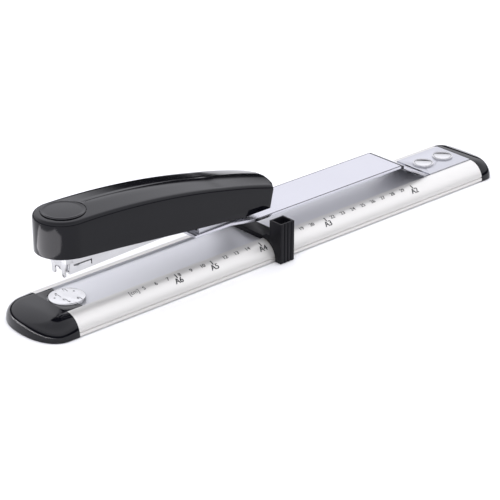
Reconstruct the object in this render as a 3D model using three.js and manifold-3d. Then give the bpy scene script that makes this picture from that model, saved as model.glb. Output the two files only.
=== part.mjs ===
// A long-reach booklet stapler: a hollow aluminium base with a sliding paper stop and a turning
// anvil, a long steel arm hinged at the rear, and a stapling head with a sprung handle.
//
// Millimetres. X runs from the front to the rear and is 0 at the staple line while the pieces are
// drawn, Y runs across, and Z is up from the table. The finished group is moved along X so that
// its origin lies under the middle of the length.

import * as THREE from "three";
import { mergeVertices } from "three/addons/utils/BufferGeometryUtils.js";
import Module from "manifold-3d";

const wasm = await Module();
wasm.setup();

// ---------------------------------------------------------------- driving dimensions

const GAP = 0.3; // clearance between pieces that only rest by each other
const RUNNING = 0.35; // clearance of a sliding or turning piece

// Base profile
const BASE_FRONT = -12.5;
const BASE_REAR = 364;
const BASE_HALF = 29.8; // half width at the table edge
const BASE_EDGE_Z = 1.2; // height of the lower edge
const CREST_Z = 14; // top of the profile
const CREST_HALF = 17.5; // where the flat crest turns into the curved flank
const CHANNEL_HALF = 17; // half width of the recess along the middle
const CHANNEL_Z = 12.4; // floor of that recess
const BASE_WALL = 1.8;
const LIP_IN = 18; // inner edge of the two bottom lips
const LIP_THICK = 1.5;
const GROOVE_Z = 3.2; // lower edge of the guide groove in each flank
const GROOVE_TALL = 0.9;
const GROOVE_DEEP = 0.6;

// End caps
const CAP_BOTTOM = 0.5;
const FRONT_TIP = BASE_FRONT - 25.5;
const FRONT_NOSE_START = BASE_FRONT - 7.5;
const FRONT_TIP_DROP = 5.2; // how far the cap's top falls from the profile to its tip
const REAR_TIP = BASE_REAR + 16.5;
const REAR_CORNER_START = BASE_REAR + 5;
const REAR_TIP_DROP = 3;
const PLUG_LONG = 5.5;
const PLUG_HALF = CREST_HALF + (BASE_HALF - CREST_HALF - BASE_WALL) / 2 - 0.15; // inside the flank's wall
const CAP_SCREW_Y = PLUG_HALF - 2.2;
const CAP_SCREW_R = 1.5;

// Feet
const FOOT_R = 4.5;
const FOOT_Y = 17;
const FOOT_TALL = 1.6;
const FRONT_FOOT_X = BASE_FRONT - 9.5;
const REAR_FOOT_X = BASE_REAR + 7;

// Anvil
const ANVIL_R = 12.3;
const ANVIL_TOP = CREST_Z + 0.5;
const SPINDLE_R = 3;
const SPINDLE_END = CHANNEL_Z - 5.4;
const CLINCH_X = 4.2; // distance of each pair of clinch grooves from the centre
const CLINCH_DEEP = 0.6;

// Paper stop
const STOP_FACE = 153.9; // distance from the staple line to the face that meets the paper
const STOP_LONG = 12.4;
const STOP_BAR_TOP = CREST_Z + 2.2;
const STOP_SHOULDER_TOP = CREST_Z + 4.4;
const STOP_POST_IN = BASE_HALF - 5.6;
const STOP_POST_OUT = BASE_HALF + 5.8;
const STOP_POST_TOP = 29.8;
const STOP_POST_WALL = 1.3;
const STOP_BOTTOM = 0.6;
const STOP_RIBS = 3;

// Arm and its rear hinge
const ARM_HALF = CHANNEL_HALF - 0.25;
const ARM_TOP = 29.6;
const ARM_THICK = 2;
const NECK_HALF = 10;
const NECK_FRONT = 100;
const NECK_FULL = 131; // where the neck starts to widen
const NECK_WIDE = 151; // where it has its full width
const HINGE_X = BASE_REAR - 44.5;
const HINGE_Z = CHANNEL_Z - 1;
const RAMP_LONG = 27.4; // length of the slope from its top to its lower end
const RAMP_END_X = HINGE_X - 1.1;
const RAMP_END_Z = CHANNEL_Z + 2.5;
const RAMP_TOP_X = RAMP_END_X - RAMP_LONG;
const HINGE_PIN_R = 1.4;
const KNUCKLE_R = 2.8;
const ARM_KNUCKLE_HALF = 3.5;
const PLATE_KNUCKLE_IN = 8.6;
const PLATE_KNUCKLE_OUT = ARM_HALF - 0.75;
const HINGE_COIL_R = 2.1;
const HINGE_WIRE_R = 0.4;

// Rear plate and its two big rivets
const PLATE_FRONT = HINGE_X + 0.9;
const PLATE_REAR = BASE_REAR - 0.4;
const PLATE_THICK = 2.4;
const DISC_R = 7.75;
const DISC_TALL = 1.1;
const DISC_X = [PLATE_FRONT + 10.6, PLATE_REAR - 11.9];
const DISC_SHANK_R = 3;

// Magazine, in its own tilted frame: x along it, z up from its bottom
const MAGAZINE_Z = ARM_TOP + 3.4; // height of its bottom edge at the staple line
const MAGAZINE_TILT = THREE.MathUtils.degToRad(1.7);
const MAGAZINE_HALF = 7.2;
const MAGAZINE_WALL = 1;
const MAGAZINE_TALL = 13;
const MAGAZINE_FRONT = -2;
const MAGAZINE_REAR = 152.5;
const NOSE_FRONT = -5.8;
const NOSE_THICK = 1.2;
const NOSE_LEG_Y = MAGAZINE_HALF - 2;
const NOSE_LEG_HALF = 1.7;
const NOSE_LEG_DROP = 1.2;
const RAIL_HALF = MAGAZINE_HALF - 2.3;
const RAIL_TOP = MAGAZINE_TALL - 4.8;
const RAIL_REAR = MAGAZINE_REAR - 11.5;
const STRIP_LONG = 50;
const STAPLE_WIRE = 0.6;
const PUSHER_LONG = 14;
const PUSHER_TOP = MAGAZINE_TALL - 0.6;
const ROD_Z = MAGAZINE_TALL - 2.5;
const ROD_R = 1;
const SEAT_LONG = 3;
const PUSHER_COIL_R = 1.75;
const PUSHER_WIRE_R = 0.25;

// Head bracket
const BRACKET_FRONT = 104;
const BRACKET_PLATE_REAR = 142;
const BRACKET_REAR = 153.5;
const BRACKET_WALL = 1.5;
const BRACKET_IN = MAGAZINE_HALF + 0.4;
const BRACKET_OUT = BRACKET_IN + BRACKET_WALL;
const BRACKET_RIVET_X = [112, 128];
const MAGAZINE_RIVET_X = 108;

// Handle, its hinge and the parts under its shell
const PIVOT_X = 148.5;
const PIVOT_Z = ARM_TOP + 13.4;
const PIVOT_R = 2;
const HANDLE_HALF = 19.4;
const HANDLE_NOSE_X = -0.5; // centre of the round nose
const HANDLE_REAR = 161.7; // rear end of the flank, at its top edge
const HANDLE_REAR_Z = PIVOT_Z + 5.5; // height at which that end is measured
const HANDLE_REAR_LEAN = 0.22; // forward lean of the rear face towards the bottom
const HANDLE_REAR_BULGE = 5;
const HANDLE_LOW_Z = PIVOT_Z - 7.2; // bottom edge of the flank round the handle's pin
const HANDLE_NOSE_LOW_Z = PIVOT_Z + 6.2; // bottom edge at the nose
const HANDLE_EDGE_Z = PIVOT_Z + 28.5; // top edge of the flank at the front
const HANDLE_EDGE_DROP = 22.9; // fall of that edge to the rear, along a parabola
const HANDLE_CROWN = 4; // rise of the top from its edge to its middle
const CROWN_POWER = 5;
const SHELL_WALL = 2;
const SHELL_ROOF = 3;
const PAD_R = 14.5;
const PAD_FLOOR = HANDLE_EDGE_Z + 1.7;
const LEVER_WALL = 1.5;
const LEVER_OUT = BRACKET_OUT + 0.4 + LEVER_WALL;
const LEVER_FRONT = -1;
const LEVER_UNDER_EDGE = 1.5; // the lever's top lies this far under the flank's top edge
const SHELL_SCREW_X = [36, 128];
const SHELL_SCREW_R = 1.3;
const BLADE_THICK = 0.6;
const BLADE_HALF = MAGAZINE_HALF - 1.4;
const BLADE_X = -3.5;
const BLADE_LOW = MAGAZINE_Z + 0.4;
const BLADE_LONG = 34;
const PRESS_TRAVEL = THREE.MathUtils.degToRad(5.5);
const OPEN_TRAVEL = THREE.MathUtils.degToRad(55);
const RETURN_SPRING_X = 100;
const RETURN_COIL_R = 4;
const RETURN_WIRE_R = 0.5;

const MIDDLE_X = (FRONT_TIP + REAR_TIP) / 2;
const CHANNEL_UNDERSIDE = CHANNEL_Z - BASE_WALL;

// ---------------------------------------------------------------- materials

function finish(color, roughness, metalness) {
  return new THREE.MeshStandardMaterial({ color, roughness, metalness });
}

const ALUMINIUM = finish(0xd4d5d8, 0.35, 0.9);
const GLOSS_BLACK = finish(0x141416, 0.15, 0);
const SATIN_BLACK = finish(0x1c1c1f, 0.45, 0);
const ARM_STEEL = finish(0xdedee6, 0.3, 0.85);
const BRUSHED_STEEL = finish(0xc9cad2, 0.35, 0.9);
const NICKEL = finish(0xe2e2e4, 0.15, 1);
const SPRING_STEEL = finish(0x8c8e92, 0.3, 1);
const STAPLE_WIRE_FINISH = finish(0xb8babd, 0.3, 1);
const RUBBER = finish(0x202022, 0.9, 0);

// ---------------------------------------------------------------- geometry helpers

const ALONG_X = new THREE.Matrix4().makeBasis(
  new THREE.Vector3(0, 1, 0),
  new THREE.Vector3(0, 0, 1),
  new THREE.Vector3(1, 0, 0),
);

function shapeOf(points) {
  return new THREE.Shape(points.map(([u, v]) => new THREE.Vector2(u, v)));
}

// Solids for cutting and joining, and back again.
function solid(geometry) {
  const bare = new THREE.BufferGeometry();
  bare.setAttribute("position", geometry.getAttribute("position"));
  bare.setIndex(geometry.getIndex());
  const merged = mergeVertices(bare, 1e-4);
  return new wasm.Manifold(
    new wasm.Mesh({
      numProp: 3,
      vertProperties: new Float32Array(merged.getAttribute("position").array),
      triVerts: new Uint32Array(merged.getIndex().array),
    }),
  );
}

function geometryOf(body) {
  const mesh = body.getMesh();
  const geometry = new THREE.BufferGeometry();
  geometry.setAttribute("position", new THREE.BufferAttribute(mesh.vertProperties, 3));
  geometry.setIndex(new THREE.BufferAttribute(mesh.triVerts, 1));
  return geometry;
}

// An outline of [x, z] points made solid from y0 to y1.
function acrossY(points, y0, y1) {
  const geometry = new THREE.ExtrudeGeometry(shapeOf(points), { depth: y1 - y0, bevelEnabled: false });
  return solid(geometry.rotateX(Math.PI / 2).translate(0, y1, 0));
}

// An outline of [y, z] points made solid from x0 to x1.
function alongX(points, x0, x1) {
  const geometry = new THREE.ExtrudeGeometry(shapeOf(points), { depth: x1 - x0, bevelEnabled: false });
  return solid(geometry.applyMatrix4(ALONG_X).translate(x0, 0, 0));
}

// An outline of [x, y] points made solid from z0 to z1.
function upZ(points, z0, z1) {
  const geometry = new THREE.ExtrudeGeometry(shapeOf(points), { depth: z1 - z0, bevelEnabled: false });
  return solid(geometry.translate(0, 0, z0));
}

function block(x0, x1, y0, y1, z0, z1) {
  const geometry = new THREE.BoxGeometry(x1 - x0, y1 - y0, z1 - z0);
  return solid(geometry.translate((x0 + x1) / 2, (y0 + y1) / 2, (z0 + z1) / 2));
}

function rodY(x, z, radius, y0, y1, sides = 20) {
  const geometry = new THREE.CylinderGeometry(radius, radius, y1 - y0, sides);
  return solid(geometry.translate(x, (y0 + y1) / 2, z));
}

function rodZ(x, y, radius, z0, z1, sides = 20) {
  const geometry = new THREE.CylinderGeometry(radius, radius, z1 - z0, sides);
  return solid(geometry.rotateX(Math.PI / 2).translate(x, y, (z0 + z1) / 2));
}

function rodX(y, z, radius, x0, x1, sides = 16) {
  const geometry = new THREE.CylinderGeometry(radius, radius, x1 - x0, sides);
  return solid(geometry.rotateZ(Math.PI / 2).translate((x0 + x1) / 2, y, z));
}

// A round piece turned about the vertical line through (x, y), from [radius, z] points.
function turnedZ(points, x, y, sides = 40) {
  const profile = points.map(([r, z]) => new THREE.Vector2(r, z));
  const geometry = new THREE.LatheGeometry(profile, sides);
  return solid(geometry.rotateX(Math.PI / 2).translate(x, y, 0));
}

// Closed rings of equal length joined into one body. In each ring, point i and point n - 1 - i are
// mirror images across Y, and strips between such pairs close the two ends.
function loft(rings) {
  const count = rings[0].length;
  const positions = rings.flat(2);
  const faces = [];
  for (let k = 0; k + 1 < rings.length; k++) {
    for (let i = 0; i < count; i++) {
      const a = k * count + i;
      const b = k * count + ((i + 1) % count);
      faces.push(a, b, b + count, a, b + count, a + count);
    }
  }
  const last = (rings.length - 1) * count;
  for (let i = 0; i + 1 < count / 2; i++) {
    const j = count - 1 - i;
    faces.push(i, j, j - 1, i, j - 1, i + 1);
    faces.push(last + i, last + j - 1, last + j, last + i, last + i + 1, last + j - 1);
  }
  const geometry = new THREE.BufferGeometry();
  geometry.setAttribute("position", new THREE.BufferAttribute(new Float32Array(positions), 3));
  geometry.setIndex(faces);
  if (signedVolume(positions, faces) < 0) {
    geometry.setIndex(faces.reverse());
  }
  return solid(geometry);
}

function signedVolume(positions, faces) {
  const corner = (n) => new THREE.Vector3().fromArray(positions, 3 * n);
  let volume = 0;
  for (let f = 0; f < faces.length; f += 3) {
    volume += corner(faces[f]).dot(corner(faces[f + 1]).cross(corner(faces[f + 2])));
  }
  return volume;
}

// A round wire along points given as [x, y, z].
function wire(points, radius, steps, sides = 6) {
  const path = new THREE.CatmullRomCurve3(points.map((p) => new THREE.Vector3(...p)), false, "centripetal");
  const section = [];
  for (let i = 0; i < sides; i++) {
    const angle = (2 * Math.PI * i) / sides;
    section.push([radius * Math.cos(angle), radius * Math.sin(angle)]);
  }
  return new THREE.ExtrudeGeometry(shapeOf(section), { steps, extrudePath: path, bevelEnabled: false });
}

function joined(...bodies) {
  return bodies.reduce((sum, body) => sum.add(body));
}

function cut(body, ...tools) {
  return tools.reduce((rest, tool) => rest.subtract(tool), body);
}

const stapler = new THREE.Group();
stapler.position.x = -MIDDLE_X;

const magazine = new THREE.Group();
magazine.position.z = MAGAZINE_Z;
magazine.rotation.y = -MAGAZINE_TILT;
stapler.add(magazine);

function place(name, body, material, group = stapler) {
  const mesh = new THREE.Mesh(body instanceof THREE.BufferGeometry ? body : geometryOf(body), material);
  mesh.name = name;
  group.add(mesh);
}

// ---------------------------------------------------------------- base

// Half width of the curved flank at an angle from its lower edge (0) to the crest (90 degrees).
function flankPoint(angle, grown = 0) {
  return [
    CREST_HALF + (BASE_HALF - CREST_HALF + grown) * Math.cos(angle),
    BASE_EDGE_Z + (CREST_Z - BASE_EDGE_Z + grown) * Math.sin(angle),
  ];
}

function flank(grown, steps = 12) {
  const points = [];
  for (let i = 0; i <= steps; i++) {
    points.push(flankPoint((Math.PI / 2) * (i / steps), grown));
  }
  return points;
}

function mirrored(half) {
  return [...half, ...half.map(([y, z]) => [-y, z]).reverse()];
}

// The outside of the base from below the table up, grown by a clearance.
function baseEnvelope(grown) {
  return mirrored([
    [BASE_HALF + grown, -5],
    ...flank(grown),
    [CHANNEL_HALF - grown, CREST_Z + grown],
    [CHANNEL_HALF - grown, CHANNEL_Z + grown],
  ]);
}

function baseProfile() {
  const outer = [...flank(0), [CHANNEL_HALF, CREST_Z], [CHANNEL_HALF, CHANNEL_Z]];
  const inner = flank(-BASE_WALL).filter(([, z]) => z > BASE_EDGE_Z + LIP_THICK && z < CHANNEL_UNDERSIDE);
  const lowest = inner[0][0];
  const highest = inner[inner.length - 1][0];
  const inside = [
    [highest, CHANNEL_UNDERSIDE],
    ...inner.reverse(),
    [lowest, BASE_EDGE_Z + LIP_THICK],
    [LIP_IN, BASE_EDGE_Z + LIP_THICK],
    [LIP_IN, BASE_EDGE_Z],
  ];
  const mirror = (points) => points.map(([y, z]) => [-y, z]).reverse();
  let body = alongX([...outer, ...mirror(outer), ...mirror(inside), ...inside], BASE_FRONT, BASE_REAR);
  for (const side of [-1, 1]) {
    const y0 = side > 0 ? BASE_HALF - GROOVE_DEEP - 0.3 : -BASE_HALF - 1;
    body = cut(body, block(BASE_FRONT - 1, BASE_REAR + 1, y0, y0 + 1.9, GROOVE_Z, GROOVE_Z + GROOVE_TALL));
  }
  const slotFront = HINGE_X - KNUCKLE_R - 0.5;
  const slotRear = HINGE_X + KNUCKLE_R + 0.7;
  const slot = block(slotFront, slotRear, -PLATE_KNUCKLE_OUT - 0.5, PLATE_KNUCKLE_OUT + 0.5, 8, CREST_Z);
  body = cut(body, slot, rodZ(0, 0, SPINDLE_R + RUNNING, 8, CREST_Z, 24));
  for (const x of DISC_X) {
    body = cut(body, rodZ(x, 0, DISC_SHANK_R + GAP, 8, CREST_Z));
  }
  for (const [x, y] of capScrewPlaces()) {
    body = cut(body, rodZ(x, y, CAP_SCREW_R + GAP, 0, 4, 14));
  }
  return body;
}

function capScrewPlaces() {
  const places = [];
  for (const x of [BASE_FRONT + PLUG_LONG / 2, BASE_REAR - PLUG_LONG / 2]) {
    for (const y of [-CAP_SCREW_Y, CAP_SCREW_Y]) {
      places.push([x, y]);
    }
  }
  return places;
}

// One end cap: rings from its bottom to its top, each a rounded nose that follows the flank.
function capBody(end, noseStart, tip, tipDrop, power) {
  const steps = 9;
  const levels = 7;
  const rings = [[CAP_BOTTOM, 0]];
  for (let k = 0; k <= levels; k++) {
    rings.push([null, (Math.PI / 2) * (k / levels)]);
  }
  return loft(
    rings.map(([flatZ, angle]) => {
      const [half, z] = flankPoint(angle);
      const reach = tip - noseStart - Math.sign(tip - noseStart) * 2.2 * (1 - Math.cos(angle));
      const ring = [[end, -half]];
      for (let i = 0; i < 2 * steps; i++) {
        const t = (Math.PI * (i + 0.5)) / (2 * steps);
        const x = noseStart + reach * Math.sin(t) ** (2 / power);
        const y = -half * Math.sign(Math.cos(t)) * Math.abs(Math.cos(t)) ** (2 / power);
        ring.push([x, y]);
      }
      ring.push([end, half]);
      return ring.map(([x, y]) => {
        const along = (x - end) / (tip - end);
        const fall = tipDrop * along ** 2 * ((z - BASE_EDGE_Z) / (CREST_Z - BASE_EDGE_Z));
        return [x, y, flatZ ?? z - fall];
      });
    }),
  );
}

function plug(end, inward) {
  const x0 = Math.min(end - inward, end + inward * PLUG_LONG);
  const x1 = Math.max(end - inward, end + inward * PLUG_LONG);
  const lipTop = BASE_EDGE_Z + LIP_THICK + GAP;
  return block(x0, x1, -PLUG_HALF, PLUG_HALF, lipTop, CHANNEL_UNDERSIDE - GAP);
}

function finishCap(body, footX, screwX) {
  let cap = body;
  for (const side of [-1, 1]) {
    const pocketTop = FOOT_TALL;
    const screwHole = rodZ(screwX, side * CAP_SCREW_Y, CAP_SCREW_R + 0.1, 0, 8.5, 14);
    cap = cut(cap, rodZ(footX, side * FOOT_Y, FOOT_R + GAP, 0, pocketTop, 24), screwHole);
  }
  return cap;
}

function frontCap() {
  const dome = capBody(BASE_FRONT, FRONT_NOSE_START, FRONT_TIP, FRONT_TIP_DROP, 2.2);
  const tongueHalf = CHANNEL_HALF - 0.2;
  const tongue = block(BASE_FRONT - 1, 0, -tongueHalf, tongueHalf, CHANNEL_Z, CREST_Z);
  const body = joined(dome, tongue, plug(BASE_FRONT, 1));
  const anvilSeat = rodZ(0, 0, ANVIL_R + 0.6, CHANNEL_Z - 0.2, CREST_Z + 1, 48);
  return finishCap(cut(body, anvilSeat), FRONT_FOOT_X, BASE_FRONT + PLUG_LONG / 2);
}

function rearCap() {
  const dome = capBody(BASE_REAR, REAR_CORNER_START, REAR_TIP, REAR_TIP_DROP, 2.8);
  return finishCap(joined(dome, plug(BASE_REAR, -1)), REAR_FOOT_X, BASE_REAR - PLUG_LONG / 2);
}

place("base_profile", baseProfile(), ALUMINIUM);
place("front_cap", frontCap(), GLOSS_BLACK);
place("rear_cap", rearCap(), GLOSS_BLACK);

for (const [end, x] of [["front", FRONT_FOOT_X], ["rear", REAR_FOOT_X]]) {
  for (const [side, y] of [["near", -FOOT_Y], ["far", FOOT_Y]]) {
    place(`foot_${end}_${side}`, rodZ(x, y, FOOT_R, 0, FOOT_TALL, 24), RUBBER);
  }
}

capScrewPlaces().forEach(([x, y]) => {
  const name = `cap_screw_${x < MIDDLE_X ? "front" : "rear"}_${y < 0 ? "near" : "far"}`;
  const screw = joined(
    rodZ(x, y, CAP_SCREW_R, BASE_EDGE_Z - 0.5, 8, 12),
    rodZ(x, y, CAP_SCREW_R + 1.2, CAP_BOTTOM, BASE_EDGE_Z, 12),
  );
  place(name, screw, SPRING_STEEL);
});

// ---------------------------------------------------------------- anvil

function anvilDisc() {
  const bevel = 0.4;
  const profile = [
    [0, SPINDLE_END],
    [SPINDLE_R, SPINDLE_END],
    [SPINDLE_R, CHANNEL_Z + GAP],
    [ANVIL_R, CHANNEL_Z + GAP],
    [ANVIL_R, ANVIL_TOP - bevel],
    [ANVIL_R - bevel, ANVIL_TOP],
    [0, ANVIL_TOP],
  ];
  let disc = turnedZ(profile, 0, 0, 48);
  const grooves = [
    [-CLINCH_X, 1.2, 7],
    [CLINCH_X, 5, 10.8],
  ];
  for (const [x, inner, outer] of grooves) {
    for (const side of [-1, 1]) {
      const y0 = side > 0 ? inner : -outer;
      const groove = block(x - 0.8, x + 0.8, y0, y0 + outer - inner, ANVIL_TOP - CLINCH_DEEP, ANVIL_TOP + 1);
      disc = cut(disc, groove);
    }
  }
  return disc;
}

place("anvil", anvilDisc(), NICKEL);

const washerTop = CHANNEL_UNDERSIDE;
const washer = cut(
  rodZ(0, 0, 6.5, washerTop - 1.2, washerTop, 28),
  rodZ(0, 0, SPINDLE_R + RUNNING, washerTop - 2, washerTop + 1, 24),
);
place("anvil_spring_washer", washer, SPRING_STEEL);

const clipTop = washerTop - 1.2;
const clip = cut(
  rodZ(0, 0, 5, clipTop - 0.9, clipTop, 24),
  rodZ(0, 0, SPINDLE_R + RUNNING, clipTop - 2, clipTop + 1, 24),
  block(0, 8, -1.2, 1.2, clipTop - 2, clipTop + 1),
);
place("anvil_retaining_clip", clip, SPRING_STEEL);

// ---------------------------------------------------------------- paper stop

function paperStop() {
  const x0 = STOP_FACE;
  const x1 = STOP_FACE + STOP_LONG;
  const shoulder = CREST_HALF + 3;
  const bar = alongX(
    mirrored([
      [STOP_POST_IN + 2, STOP_BOTTOM],
      [STOP_POST_IN + 2, STOP_SHOULDER_TOP],
      [shoulder, STOP_SHOULDER_TOP],
      [CHANNEL_HALF + 0.4, STOP_BAR_TOP],
    ]),
    x0,
    x1,
  );
  let body = bar;
  for (const side of [-1, 1]) {
    const span = (inner, outer) => (side > 0 ? [inner, outer] : [-outer, -inner]);
    const [y0, y1] = span(STOP_POST_IN, STOP_POST_OUT);
    body = joined(body, block(x0, x1, y0, y1, STOP_BOTTOM, STOP_POST_TOP));
  }
  body = cut(body, alongX(baseEnvelope(RUNNING), x0 - 1, x1 + 1));
  for (const side of [-1, 1]) {
    const span = (inner, outer) => (side > 0 ? [inner, outer] : [-outer, -inner]);
    const [h0, h1] = span(STOP_POST_IN + STOP_POST_WALL, STOP_POST_OUT - STOP_POST_WALL);
    const wall = STOP_POST_WALL;
    body = cut(body, block(x0 + wall, x1 - wall, h0, h1, CREST_Z + 1, STOP_POST_TOP + 1));
    for (let i = 0; i < STOP_RIBS; i++) {
      const x = x0 + (STOP_LONG * (i + 1)) / (STOP_RIBS + 1);
      const [r0, r1] = span(STOP_POST_OUT - 0.4, STOP_POST_OUT + 1);
      body = cut(body, block(x - 0.4, x + 0.4, r0, r1, 0, STOP_POST_TOP + 1));
    }
    const [l0, l1] = span(BASE_HALF - GROOVE_DEEP + 0.3, BASE_HALF + 1);
    const lip = block(x0, x1, l0, l1, GROOVE_Z + 0.2, GROOVE_Z + GROOVE_TALL - 0.2);
    body = joined(body, lip);
  }
  const pocket = block(x0 + 2, x1 - 2, -8.2, 8.2, CHANNEL_Z, CHANNEL_Z + 1.5);
  return cut(body, pocket);
}

place("paper_stop", paperStop(), SATIN_BLACK);
const brakePad = block(STOP_FACE + 2.2, STOP_FACE + STOP_LONG - 2.2, -8, 8, CHANNEL_Z + 0.1, CHANNEL_Z + 1.5);
place("stop_brake_pad", brakePad, RUBBER);

// ---------------------------------------------------------------- rear plate and hinge

function rearPlate() {
  let plate = block(PLATE_FRONT, PLATE_REAR, -ARM_HALF, ARM_HALF, CHANNEL_Z, CHANNEL_Z + PLATE_THICK);
  for (const [y0, y1] of [[-PLATE_KNUCKLE_OUT, -PLATE_KNUCKLE_IN], [PLATE_KNUCKLE_IN, PLATE_KNUCKLE_OUT]]) {
    plate = joined(plate, rodY(HINGE_X, HINGE_Z, KNUCKLE_R, y0, y1, 24));
  }
  const freeHalf = PLATE_KNUCKLE_IN - 0.2;
  const relief = rodY(HINGE_X, HINGE_Z, KNUCKLE_R + 0.4, -freeHalf, freeHalf, 24);
  plate = cut(plate, relief, rodY(HINGE_X, HINGE_Z, HINGE_PIN_R + 0.15, -ARM_HALF - 1, ARM_HALF + 1));
  for (const x of DISC_X) {
    plate = cut(plate, rodZ(x, 0, DISC_SHANK_R + GAP, 8, CREST_Z + 3));
  }
  return plate;
}

place("rear_plate", rearPlate(), BRUSHED_STEEL);

DISC_X.forEach((x, i) => {
  const top = CHANNEL_Z + PLATE_THICK;
  const profile = [
    [0, CHANNEL_UNDERSIDE - 1.4],
    [4.5, CHANNEL_UNDERSIDE - 1.4],
    [4.5, CHANNEL_UNDERSIDE],
    [DISC_SHANK_R, CHANNEL_UNDERSIDE],
    [DISC_SHANK_R, top],
    [DISC_R, top],
    [DISC_R, top + DISC_TALL - 0.3],
    [DISC_R - 0.3, top + DISC_TALL],
    [0, top + DISC_TALL],
  ];
  place(i === 0 ? "plate_rivet_front" : "plate_rivet_rear", turnedZ(profile, x, 0, 24), NICKEL);
});

const hingePin = rodY(HINGE_X, HINGE_Z, HINGE_PIN_R, -PLATE_KNUCKLE_OUT, PLATE_KNUCKLE_OUT);
place("arm_hinge_pin", hingePin, SPRING_STEEL);

// A torsion spring on each side of the middle knuckle: one leg under the ramp, one under the floor.
for (const [side, sign] of [["near", -1], ["far", 1]]) {
  const turns = 3;
  const perTurn = 7;
  const y0 = ARM_KNUCKLE_HALF + 0.9;
  const pitch = 1.05;
  const points = [
    [HINGE_X + 8, sign * y0, HINGE_Z - HINGE_COIL_R],
    [HINGE_X + 4, sign * y0, HINGE_Z - HINGE_COIL_R],
  ];
  for (let i = 0; i <= perTurn * (turns + 0.3); i++) {
    const angle = -Math.PI / 2 - (Math.PI * 2 * i) / perTurn;
    points.push([
      HINGE_X + HINGE_COIL_R * Math.cos(angle),
      sign * (y0 + (pitch * i) / perTurn),
      HINGE_Z + HINGE_COIL_R * Math.sin(angle),
    ]);
  }
  const yEnd = sign * (y0 + pitch * (turns + 0.3));
  points.push([HINGE_X - 2.75, yEnd, HINGE_Z + 1.45], [HINGE_X - 7.5, yEnd, HINGE_Z + 3.95]);
  place(`arm_spring_${side}`, wire(points, HINGE_WIRE_R, 2 * points.length, 5), SPRING_STEEL);
}

// ---------------------------------------------------------------- arm

function armPlate() {
  const slope = Math.atan2(ARM_TOP - RAMP_END_Z, RAMP_END_X - RAMP_TOP_X);
  const under = ARM_THICK / Math.cos(slope);
  const kneeX = RAMP_TOP_X - ARM_THICK * Math.tan(slope / 2);
  const side = [
    [NECK_FRONT, ARM_TOP - ARM_THICK],
    [kneeX, ARM_TOP - ARM_THICK],
    [RAMP_END_X, RAMP_END_Z - under],
    [RAMP_END_X, RAMP_END_Z],
    [RAMP_TOP_X, ARM_TOP],
    [NECK_FRONT, ARM_TOP],
  ];
  const plan = mirrored([
    [NECK_FRONT, NECK_HALF],
    [NECK_FULL, NECK_HALF],
    [NECK_WIDE, ARM_HALF],
    [RAMP_END_X + 1, ARM_HALF],
  ].map(([x, y]) => [y, x])).map(([y, x]) => [x, y]);
  let body = acrossY(side, -ARM_HALF, ARM_HALF).intersect(upZ(plan, 0, ARM_TOP + 5));
  const knuckle = rodY(HINGE_X, HINGE_Z, KNUCKLE_R, -ARM_KNUCKLE_HALF, ARM_KNUCKLE_HALF, 24);
  for (const [y0, y1] of [[-ARM_HALF - 1, -ARM_KNUCKLE_HALF], [ARM_KNUCKLE_HALF, ARM_HALF + 1]]) {
    body = cut(body, rodY(HINGE_X, HINGE_Z, KNUCKLE_R + 0.4, y0, y1, 24));
  }
  body = cut(joined(body, knuckle), rodY(HINGE_X, HINGE_Z, HINGE_PIN_R + 0.15, -5, 5));
  for (const x of BRACKET_RIVET_X) {
    body = cut(body, rodZ(x, 0, 1.5 + GAP, ARM_TOP - 5, ARM_TOP + 5, 16));
  }
  return body;
}

place("arm_plate", armPlate(), ARM_STEEL);

function headBracket() {
  const low = ARM_TOP;
  const high = ARM_TOP + 9.6;
  const side = [
    [BRACKET_FRONT, low],
    [BRACKET_PLATE_REAR, low],
    [BRACKET_PLATE_REAR + 4, low + 6.2],
    [BRACKET_REAR, low + 8.6],
    [BRACKET_REAR, PIVOT_Z + 2],
    [BRACKET_REAR - 2.5, PIVOT_Z + 4.5],
    [PIVOT_X - 4, PIVOT_Z + 4.5],
    [PIVOT_X - 13, high],
    [BRACKET_FRONT, high],
  ];
  let body = acrossY(side, -BRACKET_OUT, BRACKET_OUT);
  for (const [x, z] of [[BRACKET_FRONT - 1, low + BRACKET_WALL], [BRACKET_PLATE_REAR, low - 1]]) {
    body = cut(body, block(x, BRACKET_REAR + 1, -BRACKET_IN, BRACKET_IN, z, 60));
  }
  body = cut(body, rodY(PIVOT_X, PIVOT_Z, PIVOT_R + GAP, -BRACKET_OUT - 1, BRACKET_OUT + 1));
  for (const x of BRACKET_RIVET_X) {
    body = cut(body, rodZ(x, 0, 1.5 + GAP, low - 1, low + 4, 16));
  }
  const [rivetX, rivetZ] = magazineRivetPlace();
  return cut(body, rodY(rivetX, rivetZ, 1.2 + GAP, -BRACKET_OUT - 1, BRACKET_OUT + 1, 14));
}

function magazineRivetPlace() {
  return [MAGAZINE_RIVET_X, ARM_TOP + 8.2];
}

place("head_bracket", headBracket(), BRUSHED_STEEL);

BRACKET_RIVET_X.forEach((x, i) => {
  const bottom = ARM_TOP - ARM_THICK;
  const top = ARM_TOP + BRACKET_WALL;
  const profile = [
    [0, bottom - 0.8],
    [2.6, bottom - 0.8],
    [2.6, bottom],
    [1.5, bottom],
    [1.5, top],
    [2.6, top],
    [2.6, top + 0.8],
    [0, top + 0.8],
  ];
  place(i === 0 ? "bracket_rivet_front" : "bracket_rivet_rear", turnedZ(profile, x, 0, 12), NICKEL);
});

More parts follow.
